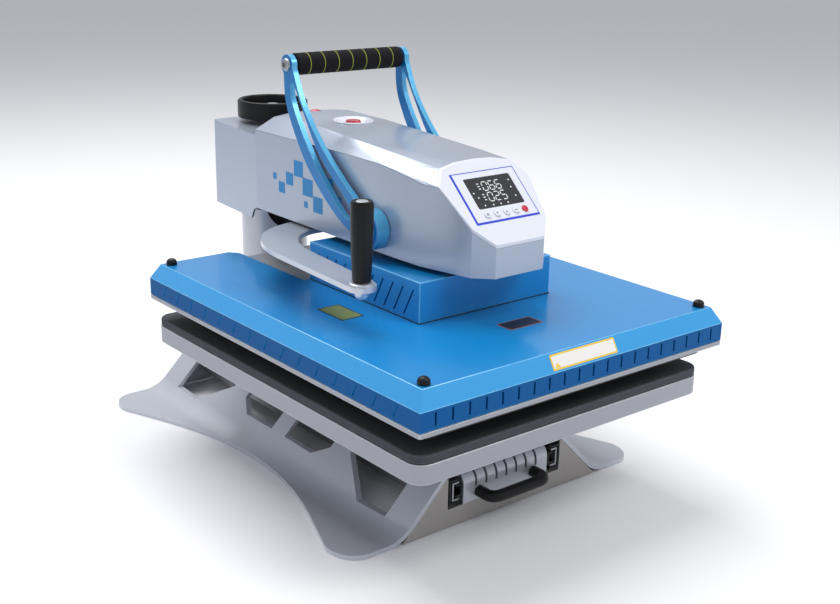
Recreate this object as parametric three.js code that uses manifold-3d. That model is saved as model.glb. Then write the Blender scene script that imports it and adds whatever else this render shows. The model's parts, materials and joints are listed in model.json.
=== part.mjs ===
// Swing-away and draw-out heat press: a winged base with a round column, a lower platen on drawer
// slides, and a head that swings about the column and drives the upper platen down with a lever.
// X runs to the right, -Y to the front, +Z up, and the base stands on z = 0.
import * as THREE from 'three';
import { mergeVertices } from 'three/addons/utils/BufferGeometryUtils.js';
import { ConvexGeometry } from 'three/addons/geometries/ConvexGeometry.js';
import Module from 'manifold-3d';

const wasm = await Module();
wasm.setup();

// ---------------------------------------------------------------- driving dimensions, millimetres
const gap = 0.3;                      // between pieces that touch
const runningGap = 0.5;               // between pieces that slide or turn in one another

const platenWidth = 400;
const platenDepth = 500;
const platenThickness = 20.5;
const platenBottom = 118;
const platenCentreY = 6;
const padThickness = 9;
const openGap = 17.2;                 // from the pad to the heated plate while the press is open

const coverCentreY = -6;
const coverOverhang = 9.7;            // the cover stands out past the lower platen on each side
const coverEndSetback = 1.4;          // and this much at each end
const bevelWidth = 9.8;
const bevelHeight = 17.4;
const fasciaHeight = 19.8;
const coverSheet = 2.5;
const heaterThickness = 12;
const heaterInset = 13;
const trimThickness = 4.7;
const trimOverhang = 0.8;             // past the cover all round
const trimReveal = 9.5;               // bare edge of the heated plate below the trim
const notchHalfWidth = 100;
const riserHalfWidth = 92;
const riserFrontY = -110;
const riserRearY = 86;
const riserHeight = 44;
const riserSheet = 2;

const frontSetback = 93;              // of the base's front behind the platen's front edge
const sheet = 5;                      // thickness of the base's bent plates
const wingReach = 209;
const wingWaist = 155;
const wingBendRadius = 45;
const wingSlopeFoot = 148.6;          // half width where the 45 degree face would meet the ground
const wingTop = 92;
const wingLipInner = 49;
const panelSheet = 4;
const deckThickness = 6;

const columnClearance = 5;            // behind the platen
const columnRadius = 42;
const columnWall = 8;
const columnTop = 250;
const columnWindow = 30;              // round cut in the front of the column's top edge
const flangeMargin = 12;              // of the foot flange past the column
const baseRearMargin = 16;            // of the base past the foot flange
const columnFlangeThickness = 10;

const slideHalfSpacing = 80.3;        // outer faces of the drawer slides
const slideLength = 380;
const slideHeight = 28;
const slideMidZ = 40;
const slideWidth = 18.8;              // outer face of a slide to the drawer front's edge
const drawerFloor = 22;
const drawerFrontTop = 58;

const slotPitch = 14.5;               // between the slots across the drawer front's bend
const drawerSlotWidth = 3;
const pullReach = 28;
const pullWidth = 92;
const pullRadius = 6.5;
const pullBend = 10;                  // of the handle's centreline
const pullZ = 32;
const frontSlots = 20;
const sideSlots = 15;
const riserSlots = 11;
const capInset = 19;
const guideRodRadius = 6;
const guideRodYs = [-54, 28];
const guideRodTop = 300;

const headHalfWidth = 72;
const headBottom = 268;
const headWall = 3;
const sideTop = 364.5;                // where the flat sides end and the top cover starts
const headFrontY = -157;
const headLip = 301;                  // height of the front face
const panelSlope = 0.93;
const blockBottom = 252;
const blockTop = 357;
const blockRearMargin = 4;            // of the deep rear block behind the column
const blockFrontMargin = 32;          // and ahead of it

const displayX = 2.9;
const displayHalfWidth = 31.4;
const displayLow = 43.5;              // up the slope from the lip
const displayHeight = 37.4;
const keyLine = 35.5;
const keyRadius = 3.9;
const keyStand = 1.3;
const keyPlaces = [[-23, 'set'], [-10, 'down'], [3, 'up'], [16, 'mode'], [29, 'start']];
const dishY = 130;
const dishRadius = 24;
const buttonRadius = 9;
const slotWidth = 2.4;                // of the cooling slots in the cover and the raised box
const lampY = 207;
const lampRadius = 6.5;
const frameInset = 18;                // of the inner frame's sides from the head's sides
const frameRearInset = 29;
const shaftTop = 257;
const inletHalfWidth = 33;
const inletLow = 272;
const inletHeight = 30;
const rockerX = 18;
const rockerPivotDepth = 3;           // behind the flange's face
const screwRadius = 7.5;
const wheelRadius = 44;
const wheelRim = 22;                  // height of the handwheel's rim
const wheelTop = 385;

const leverY = -13;
const leverZ = 294;
const leverRadius = 220;              // hub to hand bar
const leverRestAngle = 45;            // degrees above the rearward horizontal
const armClearance = 4;               // between the head's side and the arm
const armThickness = 6.5;
const hubRadius = 22;
const hubStand = 12;                  // of the hub's outer face past the arm's inner face
const boltRadius = 3.6;
const axleRadius = 9;
const crankThrow = 10.25;
const crankRestAngle = 125;
const linkLength = 36;
const barRadius = 8;
const foamRadius = 12.3;

const gripX = -150.5;
const gripY = -91;
const gripLength = 81;
const swingPlateTop = 265;
const swingPlateThickness = 5.5;
const gripFoot = swingPlateTop + 3;   // top of the boss under the grip

// ---------------------------------------------------------------- worked-out positions
const platenRear = platenCentreY + platenDepth / 2;
const columnY = platenRear + columnClearance + columnRadius;
const columnFlange = columnRadius + flangeMargin;
const baseFrontY = platenCentreY - platenDepth / 2 + frontSetback;
const baseLength = columnY + columnFlange + baseRearMargin - baseFrontY;
const baseCentreY = baseFrontY + baseLength / 2;
const drawerHalfWidth = slideHalfSpacing - slideWidth;
const blockRearY = columnY + columnRadius + blockRearMargin;
const blockFrontY = columnY - columnRadius - blockFrontMargin;
const frameHalfWidth = headHalfWidth - frameInset;
const frameRear = blockRearY - frameRearInset;
const armInner = headHalfWidth + armClearance;
const hubFace = armInner + hubStand;
const padBottom = platenBottom + platenThickness + gap;
const padTop = padBottom + padThickness;
const heaterBottom = padTop + openGap;
const trimBottom = heaterBottom + trimReveal;
const coverBottom = trimBottom + trimThickness + gap;
const coverTop = coverBottom + fasciaHeight + bevelHeight;
const coverHalfX = platenWidth / 2 + coverOverhang;
const coverHalfY = platenDepth / 2 + coverEndSetback;
const coverFront = coverCentreY - coverHalfY;
const coverRear = coverCentreY + coverHalfY;
const heaterTop = heaterBottom + heaterThickness;
const backPlateTop = coverTop - 8.4;
const backPlateThickness = 3;
const riserTop = coverTop + riserHeight;
const deckBottom = wingTop + gap;
const deckTop = deckBottom + deckThickness;
const columnInner = columnRadius - columnWall;
const rad = Math.PI / 180;
const barY = leverY + leverRadius * Math.cos(leverRestAngle * rad);
const barZ = leverZ + leverRadius * Math.sin(leverRestAngle * rad);
const crankPinY = leverY + crankThrow * Math.cos(crankRestAngle * rad);
const crankPinZ = leverZ + crankThrow * Math.sin(crankRestAngle * rad);
const ramPinZ = crankPinZ - linkLength;
const ramPinY = leverY - crankThrow * (1 + Math.abs(Math.cos(crankRestAngle * rad))) / 2;

// ---------------------------------------------------------------- finishes
function finish(colour, roughness, metalness) {
  return new THREE.MeshStandardMaterial({ color: colour, roughness, metalness });
}
const silverPaint = finish(0xa4aab4, 0.38, 0.55);
const housingPaint = finish(0x9aa4b2, 0.35, 0.35);
const bluePaint = finish(0x0a78c4, 0.32, 0.15);
const armBlue = finish(0x0b6fb9, 0.3, 0.5);
const castAluminium = finish(0x8f9398, 0.45, 0.8);
const brightSteel = finish(0xc4c8cc, 0.25, 0.95);
const zincSteel = finish(0x9a9da1, 0.4, 0.9);
const blackCoat = finish(0x1c1d1f, 0.5, 0.1);
const siliconeGrey = finish(0x3c4148, 0.75, 0);
const blackPlastic = finish(0x141415, 0.4, 0);
const foamBlack = finish(0x1d1c20, 0.95, 0);
const whitePlastic = finish(0xe9edf2, 0.35, 0);
const redPlastic = finish(0xc0283c, 0.35, 0);
const displayGlass = finish(0x2f3236, 0.15, 0);
const boardCream = finish(0xcfc9b6, 0.9, 0);

// ---------------------------------------------------------------- solids
const mapAxes = {
  x: new THREE.Matrix4().makeBasis(
    new THREE.Vector3(0, 1, 0), new THREE.Vector3(0, 0, 1), new THREE.Vector3(1, 0, 0)),
  y: new THREE.Matrix4().makeBasis(
    new THREE.Vector3(0, 0, 1), new THREE.Vector3(1, 0, 0), new THREE.Vector3(0, 1, 0)),
  z: new THREE.Matrix4(),
};

/** Turns a closed three.js geometry into a manifold solid whose faces point out. */
function solidOf(geometry) {
  const bare = new THREE.BufferGeometry();
  const loose = geometry.index ? geometry.toNonIndexed() : geometry;
  bare.setAttribute('position', loose.attributes.position.clone());
  const merged = mergeVertices(bare, 1e-4);
  const corner = merged.index.array;
  const place = merged.attributes.position.array;
  const faces = [];
  let volume = 0;
  const at = (index) => new THREE.Vector3().fromArray(place, 3 * index);
  for (let i = 0; i < corner.length; i += 3) {
    const [a, b, c] = [corner[i], corner[i + 1], corner[i + 2]];
    if (a !== b && b !== c && c !== a) {
      faces.push([a, b, c]);
      volume += at(a).dot(at(b).cross(at(c)));
    }
  }
  const outward = volume < 0 ? faces.map(([a, b, c]) => [a, c, b]) : faces;
  return new wasm.Manifold(new wasm.Mesh({
    numProp: 3,
    vertProperties: new Float32Array(place),
    triVerts: new Uint32Array(outward.flat()),
  }));
}

/** A flat outline, with optional holes, pushed along an axis. Points are (x,y), (y,z) or (x,z). */
function prism(axis, outline, from, to, holes = []) {
  const plane = (points) => points.map(([a, b]) => (axis === 'y'
    ? new THREE.Vector2(b, a) : new THREE.Vector2(a, b)));
  const shape = new THREE.Shape(plane(outline));
  holes.forEach((hole) => shape.holes.push(new THREE.Path(plane(hole))));
  const body = new THREE.ExtrudeGeometry(shape, { depth: to - from, bevelEnabled: false, steps: 1 });
  body.translate(0, 0, from);
  body.applyMatrix4(mapAxes[axis]);
  return solidOf(body);
}

function block(x0, x1, y0, y1, z0, z1) {
  const body = new THREE.BoxGeometry(x1 - x0, y1 - y0, z1 - z0);
  body.translate((x0 + x1) / 2, (y0 + y1) / 2, (z0 + z1) / 2);
  return solidOf(body);
}

/** A round profile of [radius, height] pairs turned about an axis that passes through `centre`. */
function turned(axis, profile, centre, segments = 40) {
  const closed = profile[0][0] > 0 ? [...profile, profile[0]] : profile;
  const body = new THREE.LatheGeometry(closed.map(([r, h]) => new THREE.Vector2(r, h)), segments);
  if (axis === 'z') body.rotateX(Math.PI / 2);
  if (axis === 'x') body.rotateZ(-Math.PI / 2);
  body.translate(...centre);
  return solidOf(body);
}

/** A plain round bar along an axis; `centre` gives the two other coordinates in order. */
function bar(axis, centre, radius, from, to, segments = 32) {
  const [a, b] = centre;
  const place = { x: [0, a, b], y: [a, 0, b], z: [a, b, 0] }[axis];
  return turned(axis, [[0, from], [radius, from], [radius, to], [0, to]], place, segments);
}

function hull(points) {
  return solidOf(new ConvexGeometry(points.map((p) => new THREE.Vector3(...p))));
}

function join(...solids) {
  return solids.reduce((all, next) => all.add(next));
}

function cut(solid, ...tools) {
  return tools.reduce((left, tool) => left.subtract(tool), solid);
}

function bothSides(points) {
  return points.flatMap(([x, y, z]) => [[x, y, z], [-x, y, z]]);
}

function arc(cx, cy, radius, fromDegrees, toDegrees, steps) {
  return Array.from({ length: steps + 1 }, (_, i) => {
    const angle = (fromDegrees + (toDegrees - fromDegrees) * (i / steps)) * rad;
    return [cx + radius * Math.cos(angle), cy + radius * Math.sin(angle)];
  });
}

function roundedRectangle(x0, x1, y0, y1, radius, steps = 6) {
  return [
    ...arc(x1 - radius, y1 - radius, radius, 0, 90, steps),
    ...arc(x0 + radius, y1 - radius, radius, 90, 180, steps),
    ...arc(x0 + radius, y0 + radius, radius, 180, 270, steps),
    ...arc(x1 - radius, y0 + radius, radius, 270, 360, steps),
  ];
}

function flipX(points) {
  return points.map(([x, y]) => [-x, y]);
}

function curvePoints(path, steps) {
  return path.getPoints(steps).map((p) => [p.x, p.y]);
}

const press = new THREE.Group();
const middleY = (coverFront - trimOverhang + baseFrontY + baseLength) / 2;

/** Adds one piece, with the origin moved under the middle of the whole press. */
function add(name, solid, material) {
  const data = solid.translate(0, -middleY, 0).getMesh();
  const geometry = new THREE.BufferGeometry();
  geometry.setAttribute('position', new THREE.BufferAttribute(new Float32Array(data.vertProperties), 3));
  geometry.setIndex(new THREE.BufferAttribute(new Uint32Array(data.triVerts), 1));
  geometry.computeVertexNormals();
  const mesh = new THREE.Mesh(geometry, material);
  mesh.name = name;
  press.add(mesh);
}

// ---------------------------------------------------------------- base
/** Section of a wing across the press: flat foot, bend, 45 degree face and inward lip. */
function wingSection() {
  const tangent = wingBendRadius * Math.tan(22.5 * rad);
  const bendX = wingSlopeFoot - sheet + tangent;
  const bendZ = sheet + wingBendRadius;
  const innerFoot = wingSlopeFoot - sheet * Math.SQRT2;
  const lipUnder = wingTop - sheet;
  return [
    [wingReach + 10, sheet],
    ...arc(bendX, bendZ, wingBendRadius, 270, 225, 6),
    [wingSlopeFoot - wingTop, wingTop],
    [wingLipInner, wingTop],
    [wingLipInner, lipUnder],
    [innerFoot - lipUnder, lipUnder],
    ...arc(bendX, bendZ, wingBendRadius + sheet, 225, 270, 6),
    [wingReach + 10, 0],
  ];
}

/** The wings seen from above: a lobe at each corner and a waist between them. */
function wingPlan() {
  const half = baseLength / 2;
  const lobeY = half - 41;
  const flat = wingReach - 25;
  const plan = new THREE.Shape();
  plan.moveTo(wingLipInner - 10, -half);
  plan.lineTo(flat, -half);
  plan.bezierCurveTo(flat + 22, -half + 2, wingReach + 5, -half + 26, wingReach, -lobeY);
  plan.bezierCurveTo(wingReach - 31, -lobeY + 80, wingWaist, -lobeY + 130, wingWaist, 0);
  plan.bezierCurveTo(wingWaist, lobeY - 130, wingReach - 31, lobeY - 80, wingReach, lobeY);
  plan.bezierCurveTo(wingReach + 5, half - 26, flat + 22, half - 2, flat, half);
  plan.lineTo(wingLipInner - 10, half);
  return curvePoints(plan, 10).map(([x, y]) => [x, y + baseCentreY]);
}

/** Openings in one half of a wing's sloping face, as (distance from the middle, height) outlines. */
function wingOpenings() {
  const top = 56;
  const large = [[123, top], [123, 42], [175, 13.4], [223, 14.5], [223, top]];
  const small = [[14, top], [14, 26.5], [69, 26], [91, 38], [91, top]];
  return [large, small];
}

function wing(side) {
  const section = wingSection().map(([x, z]) => [side * x, z]);
  const plan = wingPlan().map(([x, y]) => [side * x, y]);
  let body = prism('y', section, baseFrontY, baseFrontY + baseLength);
  body = body.intersect(prism('z', plan, -1, wingTop + 1));
  const [near, far] = side > 0 ? [60, 152] : [-152, -60];
  for (const opening of wingOpenings()) {
    for (const end of [-1, 1]) {
      const outline = opening.map(([y, z]) => [baseCentreY + end * y, z]);
      body = cut(body, prism('x', outline, near, far));
    }
  }
  return body;
}

/** Upright panel between the wings; its sloping edges follow their inner faces. */
function endPanel(y0, top) {
  const foot = wingSlopeFoot - sheet * Math.SQRT2 - gap * Math.SQRT2;
  const low = 1;
  const outline = [[-(foot - low), low], [foot - low, low], [foot - top, top], [-(foot - top), top]];
  return prism('y', outline, y0, y0 + panelSheet);
}

function frontPanel() {
  const opening = block(-slideHalfSpacing - 1.2, slideHalfSpacing + 1.2, baseFrontY - 1,
    baseFrontY + panelSheet + 1, drawerFloor - 0.4, drawerFrontTop + 40);
  return cut(endPanel(baseFrontY, drawerFrontTop - 1), opening);
}

function railBracket(side) {
  const outer = slideHalfSpacing + gap;
  const web = outer + 2.4;
  const low = slideMidZ - slideHeight / 2 - 6;
  const section = [
    [web, low], [web, slideMidZ + slideHeight / 2], [outer, slideMidZ + slideHeight / 2],
    [outer, low + 2.4], [outer - 14, low + 2.4], [outer - 14, low],
  ].map(([x, z]) => [side * x, z]);
  return prism('y', section, baseFrontY + panelSheet + gap,
    baseFrontY + baseLength - panelSheet - gap);
}

function rearDeck() {
  const half = wingSlopeFoot - wingTop - gap;
  const rear = baseFrontY + baseLength;
  return prism('z', roundedRectangle(-half, half, columnY - columnRadius - 46, rear, 6), deckBottom, deckTop);
}

function column() {
  const foot = deckTop + gap;
  const flange = prism('z', roundedRectangle(-columnFlange, columnFlange,
    columnY - columnFlange, columnY + columnFlange, 14), foot, foot + columnFlangeThickness);
  const post = bar('z', [0, columnY], columnRadius, foot, columnTop, 64);
  const bore = bar('z', [0, columnY], columnInner, foot - 1, columnTop + 1, 64);
  const window = bar('y', [0, columnTop + 4], columnWindow, columnY - columnRadius - 5, columnY, 40);
  return cut(join(flange, post), bore, window);
}

add('base_left_wing', wing(-1), silverPaint);
add('base_right_wing', wing(1), silverPaint);
add('base_front_panel', frontPanel(), silverPaint);
add('base_rear_panel', endPanel(baseFrontY + baseLength - panelSheet, wingTop - sheet - gap), silverPaint);
add('base_rear_deck', rearDeck(), silverPaint);
add('column', column(), silverPaint);
for (const [label, side] of [['left', -1], ['right', 1]]) {
  add(`slide_bracket_${label}`, railBracket(side), zincSteel);
}

// ---------------------------------------------------------------- drawer
/** One member of a telescopic slide: a channel that opens towards the machine's middle. */
function slideMember(side, webOuter, webThickness, tongue, height) {
  const half = height / 2;
  const lip = 2;
  const section = [
    [webOuter, slideMidZ - half], [webOuter, slideMidZ + half],
    [webOuter - tongue, slideMidZ + half], [webOuter - tongue, slideMidZ + half - lip],
    [webOuter - webThickness, slideMidZ + half - lip], [webOuter - webThickness, slideMidZ - half + lip],
    [webOuter - tongue, slideMidZ - half + lip], [webOuter - tongue, slideMidZ - half],
  ].map(([x, z]) => [side * x, z]);
  return prism('y', section, baseFrontY - 0.5, baseFrontY - 0.5 + slideLength);
}

/** The innermost member, a channel that opens outwards and carries the drawer. */
function innerMember(side) {
  const web = drawerHalfWidth + 1 + gap;
  const half = slideHeight / 2 - 7;
  const section = [
    [web, slideMidZ - half], [web + 9, slideMidZ - half], [web + 9, slideMidZ - half + 2],
    [web + 2, slideMidZ - half + 2], [web + 2, slideMidZ + half - 2], [web + 9, slideMidZ + half - 2],
    [web + 9, slideMidZ + half], [web, slideMidZ + half],
  ].map(([x, z]) => [side * x, z]);
  return prism('y', section, baseFrontY - 0.5, baseFrontY - 0.5 + slideLength);
}

const trayHalfWidth = drawerHalfWidth + 1;
const trayFront = baseFrontY + 8;        // clear of the bend in the drawer front
const trayRear = 200;
const neckHalfWidth = wingLipInner - 4;

function drawerTray() {
  const sides = trayHalfWidth - 3;
  const section = [
    [-trayHalfWidth, drawerFloor], [trayHalfWidth, drawerFloor], [trayHalfWidth, 54], [sides, 54],
    [sides, drawerFloor + 3], [-sides, drawerFloor + 3], [-sides, 54], [-trayHalfWidth, 54],
  ];
  return prism('y', section, trayFront, trayRear);
}

/** Front of the drawer: an upright plate rolled back over the top, slotted across the bend. */
function drawerFront() {
  const bend = 14;
  const plate = 2.5;
  const face = baseFrontY - 1;
  const centreY = face + bend;
  const centreZ = drawerFrontTop - bend;
  const section = [
    [face, drawerFloor + 0.5],
    ...arc(centreY, centreZ, bend, 180, 90, 8),
    [centreY + 18, drawerFrontTop],
    [centreY + 18, drawerFrontTop - plate],
    ...arc(centreY, centreZ, bend - plate, 90, 180, 8),
    [face + plate, drawerFloor + 0.5],
  ];
  let body = prism('x', section, -drawerHalfWidth + 0.5, drawerHalfWidth - 0.5);
  const half = drawerSlotWidth / 2;
  for (let i = -3; i <= 3; i += 1) {
    const x = i * slotPitch;
    body = cut(body, block(x - half, x + half, face - 1, centreY + 1, centreZ - 6, drawerFrontTop + 1));
  }
  return body;
}

/** Bow handle on the drawer front: a round bar bent twice, with both ends on the front. */
function drawerHandle() {
  const back = baseFrontY - 1 - gap;
  const half = pullWidth / 2 - pullRadius;
  const front = back - pullReach + pullRadius;
  const centreline = [
    [half, back + 4], [half, back], [half, front + pullBend + 2],
    ...arc(half - pullBend, front + pullBend, pullBend, 0, -90, 6),
    ...arc(-half + pullBend, front + pullBend, pullBend, 270, 180, 6),
    [-half, front + pullBend + 2], [-half, back], [-half, back + 4],
  ].map(([x, y]) => new THREE.Vector3(x, y, pullZ));
  const section = new THREE.Shape(arc(0, 0, pullRadius, 0, 330, 11).map((p) => new THREE.Vector2(...p)));
  const bow = solidOf(new THREE.ExtrudeGeometry(section, {
    steps: 56, bevelEnabled: false, extrudePath: new THREE.CatmullRomCurve3(centreline),
  }));
  return cut(bow, block(-half - 20, half + 20, back, back + 20, pullZ - 20, pullZ + 20));
}

/** Pedestal that carries the lower platen up from the tray between the wings. */
function platenPedestal() {
  const foot = drawerFloor + 3 + gap;
  const top = platenBottom - gap;
  const [front, rear] = [-90, 110];
  const tube = cut(
    block(-neckHalfWidth, neckHalfWidth, front, rear, foot, top - 4),
    block(-neckHalfWidth + 4, neckHalfWidth - 4, front + 4, rear - 4, foot - 1, top - 6));
  const plate = prism('z', roundedRectangle(-130, 130, front - 60, rear + 40, 12), top - 6, top);
  const hole = block(-neckHalfWidth + 12, neckHalfWidth - 12, front + 30, rear - 30, top - 8, top + 1);
  return cut(join(tube, plate), hole);
}

function platenOutline(inset) {
  const halfX = platenWidth / 2 - inset;
  const halfY = platenDepth / 2 - inset;
  return roundedRectangle(-halfX, halfX, platenCentreY - halfY, platenCentreY + halfY, 18 - inset, 8);
}

for (const [label, side] of [['left', -1], ['right', 1]]) {
  add(`slide_outer_${label}`, slideMember(side, slideHalfSpacing, 2, 14, slideHeight), zincSteel);
  add(`slide_middle_${label}`, slideMember(side, slideHalfSpacing - 4, 2, 9, slideHeight - 7), zincSteel);
  add(`slide_inner_${label}`, innerMember(side), zincSteel);
}
add('drawer_tray', drawerTray(), zincSteel);
add('drawer_front', drawerFront(), silverPaint);
add('drawer_handle', drawerHandle(), blackPlastic);
add('platen_pedestal', platenPedestal(), zincSteel);
add('lower_platen', prism('z', platenOutline(0), platenBottom, platenBottom + platenThickness),
  castAluminium);
add('silicone_pad', prism('z', platenOutline(0.6), padBottom, padTop), siliconeGrey);

// ---------------------------------------------------------------- upper platen
function rectangle(halfX, y0, y1) {
  return [[-halfX, y0], [halfX, y0], [halfX, y1], [-halfX, y1]];
}

/** Solid outer shape of the cover, drawn in by `inset` all round: fascia, bevel and flat top. */
function coverBlock(inset, low) {
  const halfX = coverHalfX - inset;
  const [front, rear] = [coverFront + inset, coverRear - inset];
  const shoulder = coverTop - bevelHeight - inset * 0.4;
  const top = coverTop - inset;
  return hull(bothSides([
    [halfX, front, low], [halfX, rear, low], [halfX, front, shoulder], [halfX, rear, shoulder],
    [halfX - bevelWidth, front + bevelWidth, top], [halfX - bevelWidth, rear - bevelWidth, top],
  ]));
}

/** Slots through the fascia: upright ones along the front, leaning ones along both sides. */
function fasciaSlots() {
  const low = coverBottom + 4;
  const high = low + 13;
  const slots = [];
  const half = slotWidth / 2;
  for (let i = 0; i < frontSlots; i += 1) {
    const x = (i - (frontSlots - 1) / 2) * (2 * coverHalfX - 16) / frontSlots;
    slots.push(block(x - half, x + half, coverFront - 1, coverFront + coverSheet + 1, low, high));
  }
  for (let i = 0; i < sideSlots; i += 1) {
    const y = coverCentreY + (i - (sideSlots - 1) / 2) * (2 * coverHalfY - 40) / sideSlots;
    const outline = [[y + 3 - half, low], [y + 3 + half, low], [y - 3 + half, high], [y - 3 - half, high]];
    slots.push(prism('x', outline, -coverHalfX - 1, -coverHalfX + coverSheet + 1));
    slots.push(prism('x', outline, coverHalfX - coverSheet - 1, coverHalfX + 1));
  }
  return slots;
}

function platenCover() {
  const shell = cut(coverBlock(0, coverBottom), coverBlock(coverSheet, coverBottom - 1));
  const notch = prism('z', [
    [-notchHalfWidth, riserRearY], [notchHalfWidth, riserRearY],
    ...arc(notchHalfWidth + 14, coverRear - 26, 14, 180, 120, 4), [notchHalfWidth + 14, coverRear + 5],
    [-notchHalfWidth - 14, coverRear + 5],
    ...flipX(arc(notchHalfWidth + 14, coverRear - 26, 14, 180, 120, 4)).reverse(),
  ], coverBottom - 1, coverTop + 1);
  const well = block(-riserHalfWidth + 12, riserHalfWidth - 12, riserFrontY + 12, riserRearY - 12,
    coverTop - 20, coverTop + 1);
  return cut(shell, notch, well, ...fasciaSlots());
}

/** Raised box over the ram's foot, open below, with leaning slots along both sides. */
function platenRiser() {
  const foot = coverTop + gap;
  const outer = block(-riserHalfWidth, riserHalfWidth, riserFrontY, riserRearY, foot, riserTop);
  const inner = block(-riserHalfWidth + riserSheet, riserHalfWidth - riserSheet,
    riserFrontY + riserSheet, riserRearY - riserSheet, foot - 1, riserTop - riserSheet);
  const opening = block(-18, 18, ramPinY - 41, ramPinY + 57, riserTop - 5, riserTop + 1);
  let body = cut(outer, inner, opening);
  const slotLean = 15;
  const pitch = (riserRearY - riserFrontY - 12) / riserSlots;
  for (let i = 0; i < riserSlots; i += 1) {
    const y = riserFrontY + 9 + i * pitch;
    const outline = [[y + slotLean, foot + 5], [y + slotLean + slotWidth, foot + 5],
      [y + slotWidth, foot + 34], [y, foot + 34]];
    body = cut(body, prism('x', outline, -riserHalfWidth - 1, riserHalfWidth + 1));
  }
  return body;
}

const heaterHalfX = coverHalfX - heaterInset;
const heaterFront = coverFront + heaterInset;
const heaterRear = coverRear - heaterInset;

function trimFrame() {
  const outer = roundedRectangle(-coverHalfX - trimOverhang, coverHalfX + trimOverhang,
    coverFront - trimOverhang, coverRear + trimOverhang, 3, 3);
  const opening = rectangle(heaterHalfX + gap, heaterFront - gap, heaterRear + gap);
  return prism('z', outer, trimBottom, trimBottom + trimThickness, [opening]);
}

function heaterPlate() {
  return prism('z', roundedRectangle(-heaterHalfX, heaterHalfX, heaterFront, heaterRear, 10, 4),
    heaterBottom, heaterTop);
}

const boardTop = backPlateTop - backPlateThickness - gap;

function insulationBoard() {
  const outline = rectangle(heaterHalfX - 6, heaterFront + 6, heaterRear - 10);
  return prism('z', outline, heaterTop + gap, boardTop);
}

/** Silver plate over the insulation; a lip turned down at the back closes the cover's notch. */
function backPlate() {
  const low = backPlateTop - backPlateThickness;
  const halfX = heaterHalfX - 2;
  const plate = prism('z', rectangle(halfX, heaterFront, heaterRear), low, backPlateTop);
  const lip = block(-notchHalfWidth + 2, notchHalfWidth - 2, heaterRear - 3, heaterRear,
    heaterTop + gap, backPlateTop);
  return join(plate, lip);
}

/** Ram: a foot bolted to the back plate, a post with a fork for the link, and two guide rods. */
function ram() {
  const foot = backPlateTop + gap;
  const footTop = foot + 6;
  const earTop = ramPinZ + 7;
  const base = block(-60, 60, ramPinY - 46, ramPinY + 70, foot, footTop);
  const post = block(-14, 14, ramPinY - 13, ramPinY + 13, foot, ramPinZ - 10);
  const ears = [-1, 1].map((side) => block(side * 10 - 2.5, side * 10 + 2.5,
    ramPinY - 8, ramPinY + 8, ramPinZ - 12, earTop));
  const pin = bar('x', [ramPinY, ramPinZ], 4, -10, 10, 20);
  const rods = guideRodYs.map((y) => bar('z', [0, y], guideRodRadius, foot, guideRodTop, 24));
  return join(base, post, ...ears, pin, ...rods);
}

function cornerCap(x, y) {
  const top = coverTop + gap;
  const profile = [[0, top], [6.2, top], [6.2, top + 3], [5.4, top + 5], [3.4, top + 6.6], [0, top + 7.2]];
  return turned('z', profile, [x, y, 0], 24);
}

add('upper_platen_cover', platenCover(), bluePaint);
add('platen_riser_box', platenRiser(), bluePaint);
add('platen_trim_frame', trimFrame(), castAluminium);
add('heater_plate', heaterPlate(), blackCoat);
add('insulation_board', insulationBoard(), boardCream);
add('heater_back_plate', backPlate(), brightSteel);
add('ram', ram(), zincSteel);
for (const [label, x, y] of [
  ['front_left', -coverHalfX + capInset, coverFront + capInset],
  ['front_right', coverHalfX - capInset, coverFront + capInset],
  ['rear_left', -coverHalfX + capInset, coverRear - capInset],
  ['rear_right', coverHalfX - capInset, coverRear - capInset],
]) {
  add(`corner_cap_${label}`, cornerCap(x, y), blackPlastic);
}

// ---------------------------------------------------------------- head
const slopeLength = Math.hypot(1, panelSlope);
const upSlope = [1 / slopeLength, panelSlope / slopeLength];

/** Corners of the head's outer shape ahead of the rear block, right half. */
function headCorners() {
  const w = headHalfWidth;
  const foldY = -140;
  const foldZ = headLip + panelSlope * (foldY - headFrontY);
  return [
    [w, blockFrontY, headBottom], [w, -43, headBottom], [w - 6, -78, headBottom - 2],
    [w - 21, foldY, headBottom - 2], [w - 39, headFrontY, headBottom - 2],
    [w - 39, headFrontY, headLip], [w - 21, foldY, foldZ], [w - 11, -100, 352.5],
    [w, blockFrontY, sideTop - 1], [w, 45, sideTop], [w - 1, -16, sideTop - 1], [w - 6.5, -78, 352.8],
    [47, -86, 367], [47, -30, 369], [47, 65, 374.5], [47, 130, 379], [47, 205, 380],
    [47, blockFrontY - 3, 377],
    [25, -82, 370.4], [25, 0, 374.5], [25, 130, 381.6], [25, 205, 382.6], [25, blockFrontY, 379],
    [0, -81, 371.2], [0, 0, 375.5], [0, 130, 382.4], [0, 205, 383.4], [0, blockFrontY, 380],
  ];
}

function blockCorners() {
  const w = headHalfWidth;
  const rear = [blockBottom, blockTop + 1].flatMap((z) => [
    [w - 11.5, blockRearY - 4, z], [w - 16, blockRearY, z],
  ]);
  const front = [blockBottom, blockTop - 1].map((z) => [w, blockFrontY - 14, z]);
  return [...front, ...rear];
}

/** Moves the corners of an outer shape in by the wall, and drops its underside to leave it open. */
function hollowed(corners, underside, y0, y1) {
  const shrinkX = (headHalfWidth - headWall) / headHalfWidth;
  const middle = (y0 + y1) / 2;
  const shrinkY = (y1 - y0 - 2 * headWall) / (y1 - y0);
  return corners.map(([x, y, z]) => [
    x * shrinkX, middle + (y - middle) * shrinkY, z < underside + 3 ? z - 12 : z - headWall,
  ]);
}

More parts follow.
